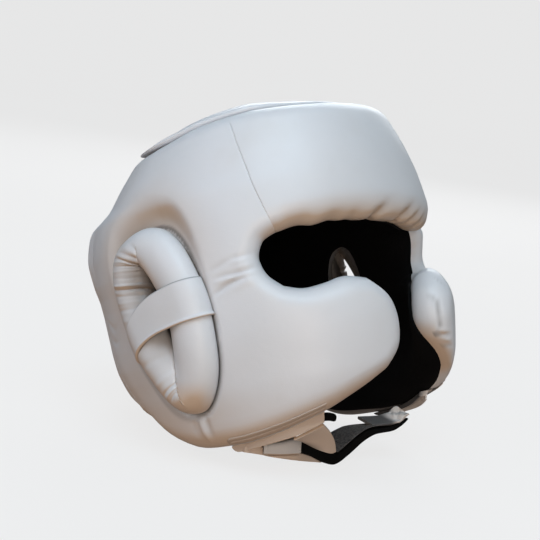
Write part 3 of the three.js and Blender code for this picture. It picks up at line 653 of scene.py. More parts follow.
def ear_frame():
    """Inward normal of the ear's outline, and how far in the outline's middle line lies."""
    along = unit(np.roll(EAR_OUTLINE, -1, axis=0) - np.roll(EAR_OUTLINE, 1, axis=0))
    inwards = np.stack([-along[:, 1], along[:, 0]], -1)
    reach = np.zeros(len(EAR_OUTLINE))
    for k, (spot, normal) in enumerate(zip(EAR_OUTLINE, inwards)):
        to = EAR_OUTLINE - spot
        facing = to @ normal
        ok = facing > 1e-6
        reach[k] = ((to[ok] ** 2).sum(1) / (2 * facing[ok])).min()
    return inwards, reach


EAR_INWARDS, EAR_REACH = ear_frame()
# the dip around the ear, by the direction from the ear's middle (degrees from up, rearwards positive):
# width of its slope and its depth at the ring's outline
DIP = np.array([[-180, 4, 2.4], [-120, 4, 2.2], [-70, 4.5, 2.2], [-45, 7, 3], [-28, 11, 5], [-12, 18, 7.5],
                [0, 23, 8.6], [14, 26, 8.6], [30, 24, 8], [50, 15, 5], [75, 7, 2.6], [120, 5, 2.2],
                [180, 4, 2.4]], float)
# the opening under the ring: middle, half width and half height; its inner end is shifted forwards
OPENING = dict(phi=90.3, z=-20.0, half_u=15.6, half_z=40.0, power=2 / 2.4)
OPENING_SHIFT = np.array([-5.5, -1.5])


def ear_angle(here):
    """Direction from the ear's middle, in degrees from up, rearwards positive."""
    away = here - EAR_MIDDLE
    return np.degrees(np.arctan2(away[:, 0], away[:, 1]))


def ear_dip(here, distance):
    """How far the panel is pressed in around and under the ear ring."""
    angle = ear_angle(here)
    rim = read(DIP, angle, 2)
    inwards = np.clip(-distance, 0, EAR_RING)
    under_tube = np.sqrt(EAR_RING ** 2 - (EAR_RING - inwards) ** 2) - EAR_RING_LIFT + 0.6
    return np.where(distance > 0, rim * (1 - smooth(distance / read(DIP, angle))),
                    np.clip(under_tube, rim, EAR_SEAT + GAP))


def opening_edge(count=240):
    turn = np.arange(count) / count * 2 * np.pi
    return np.stack([OPENING["phi"] * MM_PER_DEGREE + OPENING["half_u"] * squared(np.cos(turn), OPENING["power"]),
                     OPENING["z"] + OPENING["half_z"] * squared(np.sin(turn), OPENING["power"])], -1)


def outside(outline, here):
    """Distance outside a closed outline, negative inside it."""
    gap, _ = distance_to(np.concatenate([outline, outline[:1]]), here)
    return np.where(inside(outline, here), -gap, gap)


def cut_opening(spots, quads, edge):
    """Removes the net inside an opening and pulls its new border onto the opening's edge."""
    distance = outside(edge, unrolled(spots))
    spots, quads = used_only(spots, quads[(distance[quads] > 0).any(axis=1)])
    distance = outside(edge, unrolled(spots))
    spots = spots.copy()
    fine = np.concatenate([edge, edge[:1]])
    fine = by_length(fine, np.linspace(0, 1, 1500))
    for k in np.flatnonzero(distance < 0):
        spots[k] = fine[((fine - unrolled(spots[k])) ** 2).sum(1).argmin()] / [MM_PER_DEGREE, 1]
    return spots, quads


def outward(points, quads, count):
    """Normals of a pad whose first `count` points are its outer ones, pointing away from the head there."""
    normals = vertex_normals(points, quads)
    return normals * np.sign((normals[:count] * points[:count] * [1, 1, 0]).sum())


def pad_points(spots, outer, inner):
    """The outer points of a pad, then its inner ones."""
    return np.concatenate([skin(*spots.T, outer), skin(*spots.T, PAD - inner)])


def lining_points(spots, quads, border):
    """A thin sheet just inside a pad."""
    _, inner, _ = border.drops(unrolled(spots))
    base = PAD - inner + GAP
    return pad_points(spots, base, PAD - base - LINING), slab(quads, len(spots))


# how far the crown's rim has settled, by the angle from the face
RIM_SETTLE = np.array([[0, 1.4], [24, 1.3], [40, 2.0], [48, 2.4], [56, 1.8], [64, 1.1], [72, 0.2], [80, -1.2],
                       [88, -3.2], [96, -4.8], [104, -5.9], [112, -6.2], [120, -5.8], [128, -4.9], [140, -3],
                       [152, -1.5], [180, 0]], float)


def settled(points):
    """The head's top as it has settled: the rim dips towards the rear of both sides."""
    around, reach = turn_of(points)
    lift = read(RIM_SETTLE, around) * np.clip(reach / 70, 0, 1) ** 2 * smooth((points[:, 2] - 62) / 38)
    return points + [0, 0, 1] * lift[:, None]


def shell_piece(name, points, *rest):
    """A piece from points in the head frame."""
    return piece(name, to_floor(settled(points)), *rest)


# folds of the near side's leather at the eye's corner, under the ear and on the rear wing
RIGHT_FOLDS = [
    ([(59.8, 5.6), (63.8, 4.5), (67.5, 3.7)], 0.7, 1.5),
    ([(59.4, 2.8), (63.2, 1.5), (66, 1), (70.2, 1), (75, 0.4)], -1.0, 1.4),
    ([(59.8, 0.9), (65.2, -1), (70.5, -1.5), (76, -2.7)], 0.9, 1.5),
    ([(63.5, -1.8), (67.2, -3), (69.5, -4), (72, -5.6), (77, -10)], -1.5, 1.6),
    ([(61, -4.5), (66, -6), (70, -9)], 0.6, 2.4),
    ([(60.5, 12), (64.5, 10.5), (68.5, 11)], -0.6, 1.6), ([(61, 8.6), (65, 7.8), (69, 7.6)], 0.5, 1.5),
    ([(67.5, 10), (70.2, 9), (73.2, 7), (76.8, 5.5)], -0.5, 1.7),
    ([(90.4, -80), (90.8, -88), (91.2, -97)], 1.2, 1.4), ([(88.8, -80), (89, -88), (89.2, -95)], -0.9, 1.3),
    ([(93, -82), (94, -88), (95, -93)], -0.5, 2.0),
    ([(117, -14), (121, -15.5), (127.5, -9)], -0.5, 1.8), ([(118, -22), (123, -24), (129, -20)], -0.45, 2.0),
]
# a crease down the far cheek's rolled edge, and small wrinkles where it ends
LEFT_FOLDS = [
    ([(12.6, -29), (12.6, -36), (12.4, -43), (13, -50), (13.8, -56.5), (15.6, -61.5)], -1.1, 0.8),
    ([(13.8, -29), (13.8, -36), (13.6, -43), (14.2, -50), (15, -56), (16.8, -61)], 0.7, 1.1),
    ([(11.8, -51), (13.6, -54.5), (17, -55.5)], 0.6, 1.1), ([(12.4, -54), (14.4, -57.5), (18, -58.5)], -0.7, 1.1),
    ([(14, -58), (16.4, -61), (20, -62)], 0.6, 1.1), ([(15, -62), (18, -65), (22, -66)], -0.5, 1.2),
    ([(17, -19.5), (16, -23), (16.4, -28)], 0.5, 1.6), ([(19.5, -18), (18.6, -22), (19, -27)], -0.4, 1.6),
]


def side_looks(side, spots, ear, dip, beside, relief):
    """Painted warm shade, painted dark shade and the share of painted warm shade on down-turned faces, of a side
    panel's points, the outer ones first.
    """
    here, count, right = unrolled(spots), len(spots), side == "right"
    phi, z = spots.T
    wear, shade, down_shade = np.zeros(2 * count), np.zeros(2 * count), np.full(2 * count, DOWN_SHADE)
    # painted warm shade in the dip over and behind the ear ring, whose slope faces down
    above = bump(ear_angle(here) - 32, 68)
    wear[:count] = 0.62 * above * (1 - smooth(ear / 38)) * smooth((ear + 3) / 3) + 0.15 * smooth(dip / 9)
    # painted shade where the ear ring meets the panel, wider behind it, in the dip around it and in the folds'
    # valleys
    behind = 10 * smooth((phi - 84) / 22) * smooth((30 - z) / 24)
    contact = 0.5 * (1 - smooth(ear / 1.9)) + 0.3 * (1 - smooth((ear - behind) / 3.2)) * smooth(behind / 2)
    contact = np.minimum(contact, 0.5) * (ear > -1.5) + 0.19 * smooth(dip / 8)
    shade[:count] = np.maximum(contact, (0.13 if right else 0.5) * np.clip(-relief / 1.2, 0, 1))
    # inside, the leather that the lining leaves bare is dark, and the inner leather low on the jaw has painted
    # shade
    low = 0.9 * smooth((-84 - z) / 6) * smooth((phi - 56) / 8)
    shade[count:] = np.maximum(low, BARE * np.maximum(smooth((phi - 114) / 6), smooth((z - 32) / 8)))
    # painted shade on the walls of the opening under the ear ring
    shade[np.tile(beside < 0.3, 2)] = 0.85
    # less painted warm shade on down-turned faces low on the far side and around the eye corner's folds
    if not right:
        down_shade *= np.tile(1 - 0.75 * smooth((-78 - z) / 8), 2)
    down_shade[:count] *= 1 - 0.85 * bump(np.hypot(*(here - unrolled([(68, 2)])[0]).T), 24)
    return wear, shade, down_shade


def build_side_panels():
    edge = opening_edge()
    for side, edges, lined_edges, jaw, rings, border, folds, turn in (
            ("right", RIGHT_EDGES, RIGHT_EDGES, JAW_BOTTOM, 3, RIGHT_BORDER, RIGHT_FOLDS, 1),
            ("left", LEFT_EDGES, FAR_LINED, FAR_JAW_LINED, 1, LEFT_BORDER, LEFT_FOLDS, -1)):
        spots, quads = cut_opening(*side_panel_net(*edges), edge)
        here, count = unrolled(spots), len(spots)
        ear, beside = outside(EAR_OUTLINE, here), outside(edge, here)
        outer, inner, nearest = border.drops(here)
        dip = ear_dip(here, ear)
        moved = (here + OPENING_SHIFT * (1 - smooth(beside / 16))[:, None]) / [MM_PER_DEGREE, 1]
        points = np.concatenate([skin(*spots.T, outer + dip + hollow(*spots.T)), skin(*moved.T, PAD - inner)])
        relief = turn * UNEVEN * np.sin(here[:, 0] / 17 + 1.3) * np.sin(here[:, 1] / 23 + 0.4)
        relief *= smooth((nearest - 6) / 20) * smooth(ear / 12)
        relief += sum(fold(here, *each) for each in folds)
        points[:count] += outward(points[:count], quads, count) * (relief * smooth(nearest / 2))[:, None]
        obj = shell_piece(f"leather_side_panel_{side}", on_side(points, side), slab(quads, count), WHITE,
                          f"side_panel_{side}", *side_looks(side, spots, ear, dip, beside, relief))
        inmost = inset(*side_panel_net(*lined_edges, step=COARSE, jaw=jaw), rings)
        points, faces = lining_points(*cut_opening(*inmost, edge + OPENING_SHIFT), border)
        shell_piece(f"cloth_lining_{side}", on_side(points, side), faces, BLACK, f"lining_{side}")


# ---------------------------------------------------------------- forehead and back
SEAM_GAP = 0.06 / MM_PER_DEGREE
BROW = curve((-SEAM_FOOT[0] + SEAM_GAP, SEAM_Z), (-43, 18.2), (-34, 15), (-25, 14.5), (-17, 15.8), (-12, 17.8),
             (-7, 18.6), (3.5, 20.8), (15, 22.3), (28, 23.2), (36, 22.6), (40, 23.2), (46, 22.9),
             (SEAM_FOOT[0] - SEAM_GAP, SEAM_Z))
# where the brow is gathered: phi, depth and width
GATHERS = [(-38, 1.2, 5), (-27, 1.6, 4), (-18.5, 1.6, 3), (-11.5, 2.2, 2.4), (-4, 3.6, 3.2), (9, 2.9, 3.4),
           (20.5, 0.8, 4.5), (29, 1.1, 7), (43, 0.8, 7)]
BACK_SWELL = 2.2                # how far the back pad swells out between its seams


def lined(title, spots, quads, border):
    """The black lining inside a pad, short of the pad's edges by three rings of quads."""
    points, faces = lining_points(*inset(spots, quads, 3), border)
    shell_piece(f"cloth_lining_{title}", points, faces, BLACK, f"lining_{title}")


def build_forehead():
    def foot(sign):
        return lambda z: (sign * (seam_at(z)[0] - SEAM_GAP), z)

    def side(sign, low, high):
        return upright(foot(sign), low, high)

    def level(z):
        return line(foot(-1)(z), foot(1)(z))
    across = graded(200, SEAM_EDGE, SEAM_EDGE)
    spots, quads = sheet_of([
        field(side(-1, SEAM_Z, SHELF_Z), side(1, SEAM_Z, SHELF_Z), BROW, level(SHELF_Z), across,
              graded(33, SOFT_EDGE, 0)),
        field(side(-1, SHELF_Z, RIM_Z), side(1, SHELF_Z, RIM_Z), level(SHELF_Z), level(RIM_Z), across,
              graded(40, 0, RIM_EDGE)),
    ])
    count = len(spots)
    border = Border().free(BROW, (SOFT_EDGE,), (14.0, 20.0, 20.0, 20.0, 13.0)).rim(level(RIM_Z))
    border.seam(side(-1, SEAM_Z, RIM_Z), side(1, SEAM_Z, RIM_Z))
    here = unrolled(spots)
    outer, inner, _ = border.drops(here)
    points, faces = pad_points(spots, outer, inner), slab(quads, count)
    normals = outward(points, np.concatenate(faces), count)
    # the gathers: valleys that start over the brow's edge, lean outwards and run on inside
    brow_gap, _ = distance_to(unrolled(BROW(np.linspace(0, 1, 80))), here)
    gap, u = np.concatenate([brow_gap, -brow_gap]), np.tile(here[:, 0], 2)
    up = np.maximum(gap, 0)
    amount = np.zeros(2 * count)
    for phi, depth, width in GATHERS:
        amount -= depth * bump(u - phi * MM_PER_DEGREE + 1.1 * up, width * (1 + up / 12)) * bump(gap - 1, 8)
    seam_room = smooth((95 - np.abs(u)) / 8)
    amount *= np.where(gap > 0, smooth((gap + 4) / 6), 1) * seam_room
    # painted warm shade under the brow's rolled edge, and painted shade in the gathers' valleys and along the
    # edge
    wear = 0.8 * bump(gap - 0.5, 9) * (0.5 + 0.5 * seam_room)
    shade = 0.16 * np.clip(-amount / 2, 0, 1) + 0.08 * bump(gap - 1, 6)
    shade[count:] = np.maximum(shade[count:], BARE * smooth((spots[:, 1] - 32) / 8))
    points = points + normals * amount[:, None]
    obj = shell_piece("leather_forehead", points, faces, WHITE, "forehead_pad", wear, shade)
    lined("forehead", spots, quads, border)


def build_back():
    nape = curve((123.5 + SEAM_GAP, -80), (132, -73), (144, -71), (156, -74), (168, -82), (180, -84), (192, -82),
                 (204, -74), (216, -71), (228, -73), (236.5 - SEAM_GAP, -80))
    top = SHELF_Z - GAP

    def low(t):
        return REAR_LOW(t) + [SEAM_GAP, 0]

    def near(z):
        return (REAR_TOP_PHI + SEAM_GAP, z)

    def over(curve_of):
        return lambda t: curve_of(t) * [-1, 1] + [360, 0]

    def level(z):
        return line(near(z), (360 - near(z)[0], z))
    across = graded(190, SEAM_EDGE, SEAM_EDGE)
    middle, upper = upright(near, JAW_LINE_Z, BROW_Z), upright(near, BROW_Z, top)
    spots, quads = sheet_of([
        field(low, over(low), nape, level(JAW_LINE_Z), across, graded(65, SOFT_EDGE, 0)),
        field(middle, over(middle), level(JAW_LINE_Z), level(BROW_Z), across, graded(35, 0, 0)),
        field(upper, over(upper), level(BROW_Z), level(top), across, graded(33, 0, SEAM_EDGE)),
    ])
    post = upright(near, JAW_LINE_Z, top)
    border = Border().free(nape).seam(low, over(low), level(top), post, over(post))
    outer, inner, nearest = border.drops(unrolled(spots))
    outer += hollow(*spots.T) - BACK_SWELL * smooth(nearest / 12) * smooth((spots[:, 1] - 2) / 34)
    laid = to_floor(pad_points(spots, outer, inner))
    laid[:, 2] = np.maximum(laid[:, 2], 0)
    shade = np.concatenate([np.zeros(len(spots)), BARE * smooth((nearest - 1) / 3 + (spots[:, 1] > -60))])
    obj = piece("leather_back", laid, slab(quads, len(spots)), WHITE, "back_pad", np.zeros(2 * len(spots)), shade)
    lined("back", spots, quads, border)


# ---------------------------------------------------------------- crown
CROWN = dict(overlap=9.0, roof=29.0, edge=4.0, rise=12.0, thick=11.0)
DOME_PHI = np.arange(200) * 1.8


def crown_top(share):
    return RIM_Z + GAP + CROWN["edge"] + CROWN["rise"] * (1 - share ** 2)


def dome(edge_depth, shares, heights):
    """Points and faces of a body of rings: `shares` of the way to the edge and a height for each ring."""
    edge = skin(DOME_PHI, RIM_Z, edge_depth) * [1, 1, 0]
    points, (quads, *_) = loft(np.array([edge * s + [0, 0, h] for s, h in zip(shares, heights)]))
    last, count = len(points), len(DOME_PHI)
    j = np.arange(count)
    k = (j + 1) % count
    caps = np.concatenate([np.stack([0 * j + last, k, j], -1),
                           np.stack([0 * j + last + 1, last - count + j, last - count + k], -1)])
    points = np.concatenate([points, [[0, 0, heights[0]], [0, 0, heights[-1]]]])
    return points, [np.roll(quads[:, ::-1], 1, axis=1), caps]


def crown_edge(phi):
    """How far inside the rim's outline the crown's edge lies: farther in at the front, and hardly at the rear."""
    around = from_face(phi)
    return CROWN["overlap"] - 9 * smooth((around - 70) / 42) + 9 * smooth((62 - around) / 40)


def flattened(points):
    """The crown's edge, thinner towards the rear, where it runs out along the rim."""
    away = points - [*points.mean(axis=0)[:2], RIM_Z + GAP]
    around, reach = turn_of(away)
    loss = 0.6 * smooth((around - 93) / 20) * smooth((reach - 30) / 38)
    return points - [0, 0, 1] * (loss * np.maximum(away[:, 2], 0))[:, None]


def build_crown():
    seat = RIM_Z + GAP
    shares = np.concatenate([np.linspace(0.02, 0.9, 44), np.linspace(0.92, 0.97, 5)])
    tops = crown_top(shares) - 0.6 * smooth((shares - 0.75) / 0.2)
    radius = (tops[-1] - seat) / 2
    angles = np.radians(np.linspace(75, -90, 12))
    under = np.array([0.94, 0.88, 0.8, 0.79, 0.7, 0.5, 0.25, 0.02])
    hollowed = np.where(under >= 0.8, seat, np.maximum(seat, crown_top(under) - CROWN["thick"]))
    points, faces = dome(crown_edge(DOME_PHI), np.concatenate([shares, 0.97 + 0.03 * np.cos(angles), under]),
                         np.concatenate([tops, seat + radius + radius * np.sin(angles), hollowed]))
    obj = shell_piece("leather_crown", flattened(points), faces, WHITE, "crown_pad")
    shares = np.linspace(0.02, 1, 24)
    roof = np.maximum(seat, crown_top(shares) - CROWN["thick"]) - GAP
    points, faces = dome(CROWN["roof"], np.concatenate([shares, shares[::-1]]),
                         np.concatenate([roof, roof[::-1] - LINING]))
    shell_piece("cloth_lining_crown", points, faces, BLACK, "lining_crown")


# ---------------------------------------------------------------- ear rings and bands
RING_STEPS, RING_SIDES = 720, 48


def ring_points():
    """The ring's tube: at each step along the ear's outline, a loop of points around the tube."""
    at, spin = np.arange(RING_STEPS) * 360 / RING_STEPS, np.radians(np.arange(RING_SIDES) * 360 / RING_SIDES)
    outline, inward, reach = (columns_at(at, np.arange(361), np.concatenate([table, table[:1]]))
                              for table in (EAR_OUTLINE, EAR_INWARDS, EAR_REACH[:, None]))
    inwards = np.minimum(EAR_RING - EAR_RING * np.cos(spin), reach - 0.15)
    spots = (outline[:, None] + inward[:, None] * inwards[..., None]) / [MM_PER_DEGREE, 1]
    height = np.maximum(EAR_RING_LIFT + EAR_RING * np.sin(spin), GAP - EAR_SEAT)
    return skin(spots[..., 0], spots[..., 1], -height)


# wrinkles across the ring: place along the outline where they cross the tube's top (0 to 360), how far they
# slant in a quarter turn of the tube, height (a valley if negative) and width in millimetres
RING_WRINKLES = [
    (299, -5, 0.75, 1.3), (295, -5, -1.3, 0.9), (289, -6, -0.4, 1.3), (283, -5, 0.3, 1.6), (277, -4, -0.35, 1.5),
    (268, -3, 0.25, 2.0), (307, -2, -0.25, 1.8), (314, 3, 0.25, 1.6), (320, 7, -0.4, 1.4), (326, 10, 0.35, 1.5),
    (331, 13, -0.75, 1.1), (336, 15, 0.45, 1.3), (341, 17, -0.6, 1.1), (347, 16, 0.3, 1.5), (353, 15, -0.35, 1.5),
    (197, 3, 0.5, 1.2), (201, 3, -0.65, 1.1), (192, 2, -0.4, 1.3), (210, 3, 0.3, 2.0), (228, 0, -0.3, 2.4),
]


def build_ear_rings():
    loops = ring_points()
    points, faces = loft(loops, ring=True)
    normals = vertex_normals(points, faces[0])
    middle = np.repeat(loops.mean(1), RING_SIDES, axis=0)
    normals *= np.sign(((points - middle) * normals).sum(1).mean())
    place = np.repeat(np.arange(RING_STEPS) * 360 / RING_STEPS, RING_SIDES)
    turn = np.tile(np.arange(RING_SIDES) * 360 / RING_SIDES, RING_STEPS)
    relief = sum(height * bump(0.86 * ((place - at - slant * (turn - 90) / 90 + 180) % 360 - 180), width)
                 for at, slant, height, width in RING_WRINKLES)
    relief *= smooth((turn - 40) / 40) * smooth((215 - turn) / 30)
    points = points + normals * relief[:, None]
    # painted shade and painted warm shade on the wrinkled rear limb and its inner side, painted warm shade at the
    # bottom, painted shade at the ring's foot and underside
    rear = smooth((place - 205) / 40) * smooth((352 - place) / 14) * (turn < 260)
    upper, inner_side = smooth((place - 270) / 20), smooth((turn - 95) / 60)
    z = np.interp(place, np.arange(360), EAR_OUTLINE[:, 1])
    low = smooth((-60 - z) / 14) * smooth((turn - 20) / 40) * (turn < 260) * smooth((188 - place) / 10)
    wear = np.maximum(rear * (0.06 + 0.16 * upper + 0.32 * inner_side * (0.4 + 0.6 * upper)), 0.62 * low)
    dip = read(DIP, ear_angle(EAR_OUTLINE[place.astype(int)]), 2)
    above = EAR_RING_LIFT + EAR_RING * np.sin(np.radians(turn)) + dip
    shade = 0.7 * (1 - smooth((above + 0.2) / 1.9)) + rear * (0.08 + inner_side * (0.34 + 0.3 * upper))
    shade = np.maximum(shade, 0.75 * smooth((turn - 205) / 25) * (turn < 300))
    for side in SIDES:
        obj = shell_piece(f"leather_ear_ring_{side}", on_side(points, side), faces, WHITE, f"ear_ring_{side}",
                          wear, shade)


BAND = dict(width=25.0, front=-8.5, rear=-27.5, tuck=10.0)


def limb(z, rear):
    """Where the ring's centre line passes a height, on its front or its rear limb."""
    loop = EAR_OUTLINE + EAR_INWARDS * EAR_RING
    following = np.roll(loop, -1, axis=0)
    crosses = (loop[:, 1] - z) * (following[:, 1] - z) <= 0
    crosses &= (loop[:, 0] > EAR_MIDDLE[0]) == rear
    a, b = loop[crosses][0], following[crosses][0]
    return a[0] + (b[0] - a[0]) * (z - a[1]) / (b[1] - a[1])


def band_path(drop, radius, steps=30):
    """One thread of the band, from the front limb over to the rear limb; it arches up and narrows rearwards."""
    rear_z = BAND["rear"] - 9 + drop * 0.55
    front, rear = limb(BAND["front"] + drop, False), limb(rear_z, True)
    first = np.radians(np.linspace(180 + BAND["tuck"], 90, steps))
    second = np.radians(np.linspace(90, -BAND["tuck"], steps))
    over = np.linspace(front, rear, 14)[1:-1]
    u = np.concatenate([front + radius * np.cos(first), over, rear + radius * np.cos(second)])
    height = np.concatenate([radius * np.sin(first), np.full(len(over), radius), radius * np.sin(second)])
    share = (u - u[0]) / (u[-1] - u[0])
    arch = 13.7 * share - 22.7 * share ** 3
    spread = 1 + 0.13 * share - 0.58 * share ** 2
    z = BAND["front"] + (BAND["rear"] - BAND["front"]) * share + arch + drop * spread
    return skin(u / MM_PER_DEGREE, z, -EAR_RING_LIFT - height)


def build_ear_bands():
    inner, half = EAR_RING + 0.25, BAND["width"] / 2
    shares = np.concatenate([[0, 0.012, 0.03], np.linspace(0.06, 0.88, 20), [0.91, 0.93, 0.95, 0.97, 0.985, 1]])
    drops = half - BAND["width"] * shares
    lip = 0.9 * bump(drops + BAND["width"] * 0.46, 0.9) - 0.5 * bump(drops - half, 0.3)
    over = [band_path(drop, inner + 1.2 + rise) for drop, rise in zip(drops, lip)]
    under = [band_path(drop, inner) for drop in drops]
    loops = np.array(over + under[::-1])
    points, faces = loft(np.swapaxes(loops, 0, 1))
    # painted shade: warm under the lower edge's lip, dark along the upper edge and over the band's underside
    wear = np.concatenate([0.5 * bump(drops + half, 0.8), np.zeros(len(drops))])
    shade = np.concatenate([0.7 * bump(drops - half, 0.55), np.full(len(drops), 0.85)])
    for side in SIDES:
        shell_piece(f"leather_ear_band_{side}", on_side(points, side), faces, WHITE, f"ear_band_{side}",
                    np.tile(wear, loops.shape[1]), np.tile(shade, loops.shape[1]))


# ---------------------------------------------------------------- binding and chin
WELT = dict(drop=6.5, depth=9.0, back=15.0, climb=5.4, foot=0.3, rib=0.95)
WELT_RUN = (42, 86)             # where the binding's edge starts and ends, in phi
WELT_EDGE = curve((WELT_RUN[0], -90.5), CHEEK_END, (62, -98.5), (76, -102), (WELT_RUN[1], -102.6))


def welt_edge_at(phi):
    return WELT_EDGE(np.interp(phi, WELT_RUN, (0, 1)))[..., 1]


def build_welts():
    """The cheeks' binding: two ribs laid over the pad's lower edge and a flat band that hangs below them."""
    climbs = np.linspace(WELT["climb"], WELT["foot"], 26)
    ribs = 0.25 + WELT["rib"] * np.abs(np.sin(np.linspace(0, 2 * np.pi, 26))) ** 0.7
    for side, border, first in (("right", RIGHT_BORDER, 0.05), ("left", LEFT_BORDER, 0.1)):
        along = np.linspace(first, 1, 100)
        edge = WELT_EDGE(along)
        fade = np.sqrt(np.clip(1 - ((along - 0.93) / 0.07).clip(0, 1) ** 2, 0.05, 1))
        lower = (WELT["drop"] - GAP) * (1 - 0.33 * smooth((edge[:, 0] - 52) / 22)) * fade

        def hung(drop, depth):
            return skin(edge[:, 0], edge[:, 1] - GAP - drop, depth)
        outer, inner = [], []
        for climb, rise in zip(climbs, ribs):
            at = edge + np.stack([np.zeros(len(edge)), climb * fade], -1)
            depth = border.drops(unrolled(at))[0] - 0.2
            outer.append(skin(*at.T, depth - rise * fade))
            inner.append(skin(at[:, 0], at[:, 1] - 0.3 * (1 - climb / WELT["climb"]), depth))
        outer += [hung(lower * share, WELT["depth"] + 0.3) for share in np.linspace(0.06, 1, 8)]
        outer += [hung(lower, WELT["depth"] + 1.5), hung(lower * 0.55, WELT["depth"] + 1.7),
                  hung(lower * 0.55, WELT["back"]), hung(0.1, WELT["back"])]
        points, faces = loft(np.swapaxes(np.array(outer + inner[::-1]), 0, 1))
        near = side == "right"
        # painted shade in the grooves beside the ribs, on the flat band and on its back, nearly black on the far
        # side, and painted warm shade on the ribs and the near flat band
        shade = np.concatenate([0.12 + 0.25 * (1 - smooth(ribs / 0.6)), [0.12 * near] * 9, [0.1],
                                [0.2 if near else BARE] * 28])
        wear = [0.5] * 26 + [0.75 * near] * 12 + [0.0] * 26
        shell_piece(f"binding_cheek_{side}", on_side(points, side), faces, TRIM, f"cheek_welt_{side}",
                    np.tile(wear, len(along)), np.tile(shade, len(along)), 0.35)


STRAP_WIDTH = 22.0
# x, y, z of the front edge of the outer face, thickness, turn, lean; floor frame before FORWARD
STRAP = np.array([
    (-76, -66.2, 15.2, 4.6, 32, 12), (-64.4, -73.2, 15.2, 6.2, 26, 11), (-58, -75.6, 15.2, 7.4, 20, 10.5),
    (-52.1, -77.1, 14.9, 8.6, 12, 10), (-45.7, -77.5, 13.2, 9.2, 5, 9), (-38.6, -77.1, 10.9, 8.8, 1, 7.5),
    (-30.6, -76.8, 7.2, 9, 0, 5), (-22, -76.5, 3.4, 9, 0, 3), (-15, -77, 0.9, 8.6, 0, 1),
    (-9.5, -77.6, 0, 8, 0, 0), (-4, -78.3, 1.9, 7.4, 0, 1), (1.3, -78.9, 5.2, 6.6, 0, 4),
    (6.2, -79.8, 8.9, 6, 1, 7), (12.8, -81.9, 14.4, 5.4, 2, 10), (17.4, -84.5, 18.4, 4.8, 4, 13),
    (22.3, -87.3, 21, 3.4, 6, 15), (32, -92.5, 22.9, 2.8, 9, 16), (36.4, -94.7, 25, 2.6, 11, 18),
    (40.3, -96, 27.4, 2.2, 13, 19), (43, -97, 30, 1.6, 14, 20)], float)
FLAP_LEFT = np.array([
    (21, -82.6, 22.9, 2.2, 5, -9), (24.5, -84.4, 23.4, 1.8, 6, -9), (28.6, -87, 23.9, 1.8, 7, -8),
    (33.5, -90.4, 24.7, 1.8, 9, -8), (37.8, -93.3, 26.2, 1.8, 11, -8), (41, -95.4, 28.2, 1.8, 13, -8),
    (44, -97.2, 31.4, 1.8, 14, -8)], float)
BACKING = np.array([
    (-86, -59.4, 15.2, 3.4, 36, 12), (-82, -62, 14.7, 4.6, 35, 12), (-78, -64.9, 14.2, 5, 34, 12),
    (-76.4, -66, 13.9, 4.6, 33, 12), (-75.6, -66.5, 13.8, 0.5, 32, 12), (-73.5, -67.8, 13.2, 0.5, 31, 12),
    (-69.9, -69.9, 12.5, 1.0, 29, 12), (-64.4, -73.2, 11.7, 1.9, 26, 11), (-56.6, -76.1, 10.3, 3.2, 18, 10.5),
    (-51.4, -77.1, 9.4, 3.9, 12, 10), (-50.2, -77.3, 9.1, 4.8, 11, 10), (-46.4, -77.5, 8.3, 4.7, 6, 9),
    (-36.1, -77, 6, 3.5, 1, 7.5), (-30, -76.8, 4.7, 2, 0, 5), (-23.2, -76.5, 3.1, 0.5, 0, 3)], float)
STRAP_END = np.array([(-44, -84, 39), (-27, -84, 36.2)], float)
KEEPER, KEEPER_ROOM = 1.0, 0.3   # the sleeve's thickness, and its room around the strap
STRIP_STEPS = 6                 # loops of points from one station to the next


def band_frames(stations):
    """Per station: the corner, the rearward direction and the direction through the thickness."""
    corner = stations[:, :3] + [0, FORWARD, 0]
    along = np.gradient(stations[:, :3], axis=0)
    turn, lean = np.radians(stations[:, 4]), np.radians(stations[:, 5])
    rear = np.stack([np.cos(lean) * np.sin(turn), np.cos(lean) * np.cos(turn), -np.sin(lean)], -1)
    return corner, rear, unit(np.cross(along, rear))


def rounded(near, far, low, high, radius, steps):
    """The corner arcs of a rounded rectangle, from the low far corner over the high ones to the low near one."""
    near, far, low, high = near + radius, far - radius, low + radius, high - radius
    arcs = []
    for x, y, start in ((far, low, -90), (far, high, 0), (near, high, 90), (near, low, 180)):
        angles = np.radians(start + np.linspace(0, 90, steps))
        arcs.append(np.stack([x + radius * np.cos(angles), y + radius * np.sin(angles)], -1))
    return arcs


def strip(stations, front, width, edge=0.8, lift=None, relief=None, straight=False):
    """A flat band with rounded edges, from `front` behind the corner, as thick as its stations say.

    With `lift` it is a thin layer on that band, from one height over it to another.
    """
    count = (len(stations) - 1) * STRIP_STEPS + 1
    if straight:
        stations = columns_at(np.linspace(0, len(stations) - 1, count), np.arange(len(stations)), stations)
    else:
        stations = catmull_rom(stations, count)
    corner, rear, inward = band_frames(stations)
    loops = []
    for k, station in enumerate(stations):
        bottom, top = station[3] + lift if lift is not None else (0, station[3])
        radius = min(edge, (top - bottom) / 2 - 0.01)
        run = np.linspace(radius, width - radius, 20)[:, None] * [1, 0]
        arcs = rounded(0, width, bottom, top, radius, 4)
        path = np.concatenate([run[:-1] + [0, bottom], *arcs[:2], run[-2:0:-1] + [0, top], arcs[2],
                               arcs[3][:-1]])
        if relief:
            path = relief(path, k / (len(stations) - 1))
        loops.append(corner[k] + rear[k] * (front + path[:, :1]) + inward[k] * path[:, 1:])
    return loft(np.array(loops))


def crumpled(path, share):
    """Creases across the far flap's outer half."""
    amount = smooth((share - 0.5) / 0.2)
    lift = 0.8 * (1 + np.sin(0.5 * path[:, 0] + 15 * share)) + 0.3 * (1 + np.sin(0.9 * path[:, 0] - 24 * share))
    return path + np.stack([0.5 * amount * math.sin(17 * share) * np.ones(len(path)), amount * lift], -1)


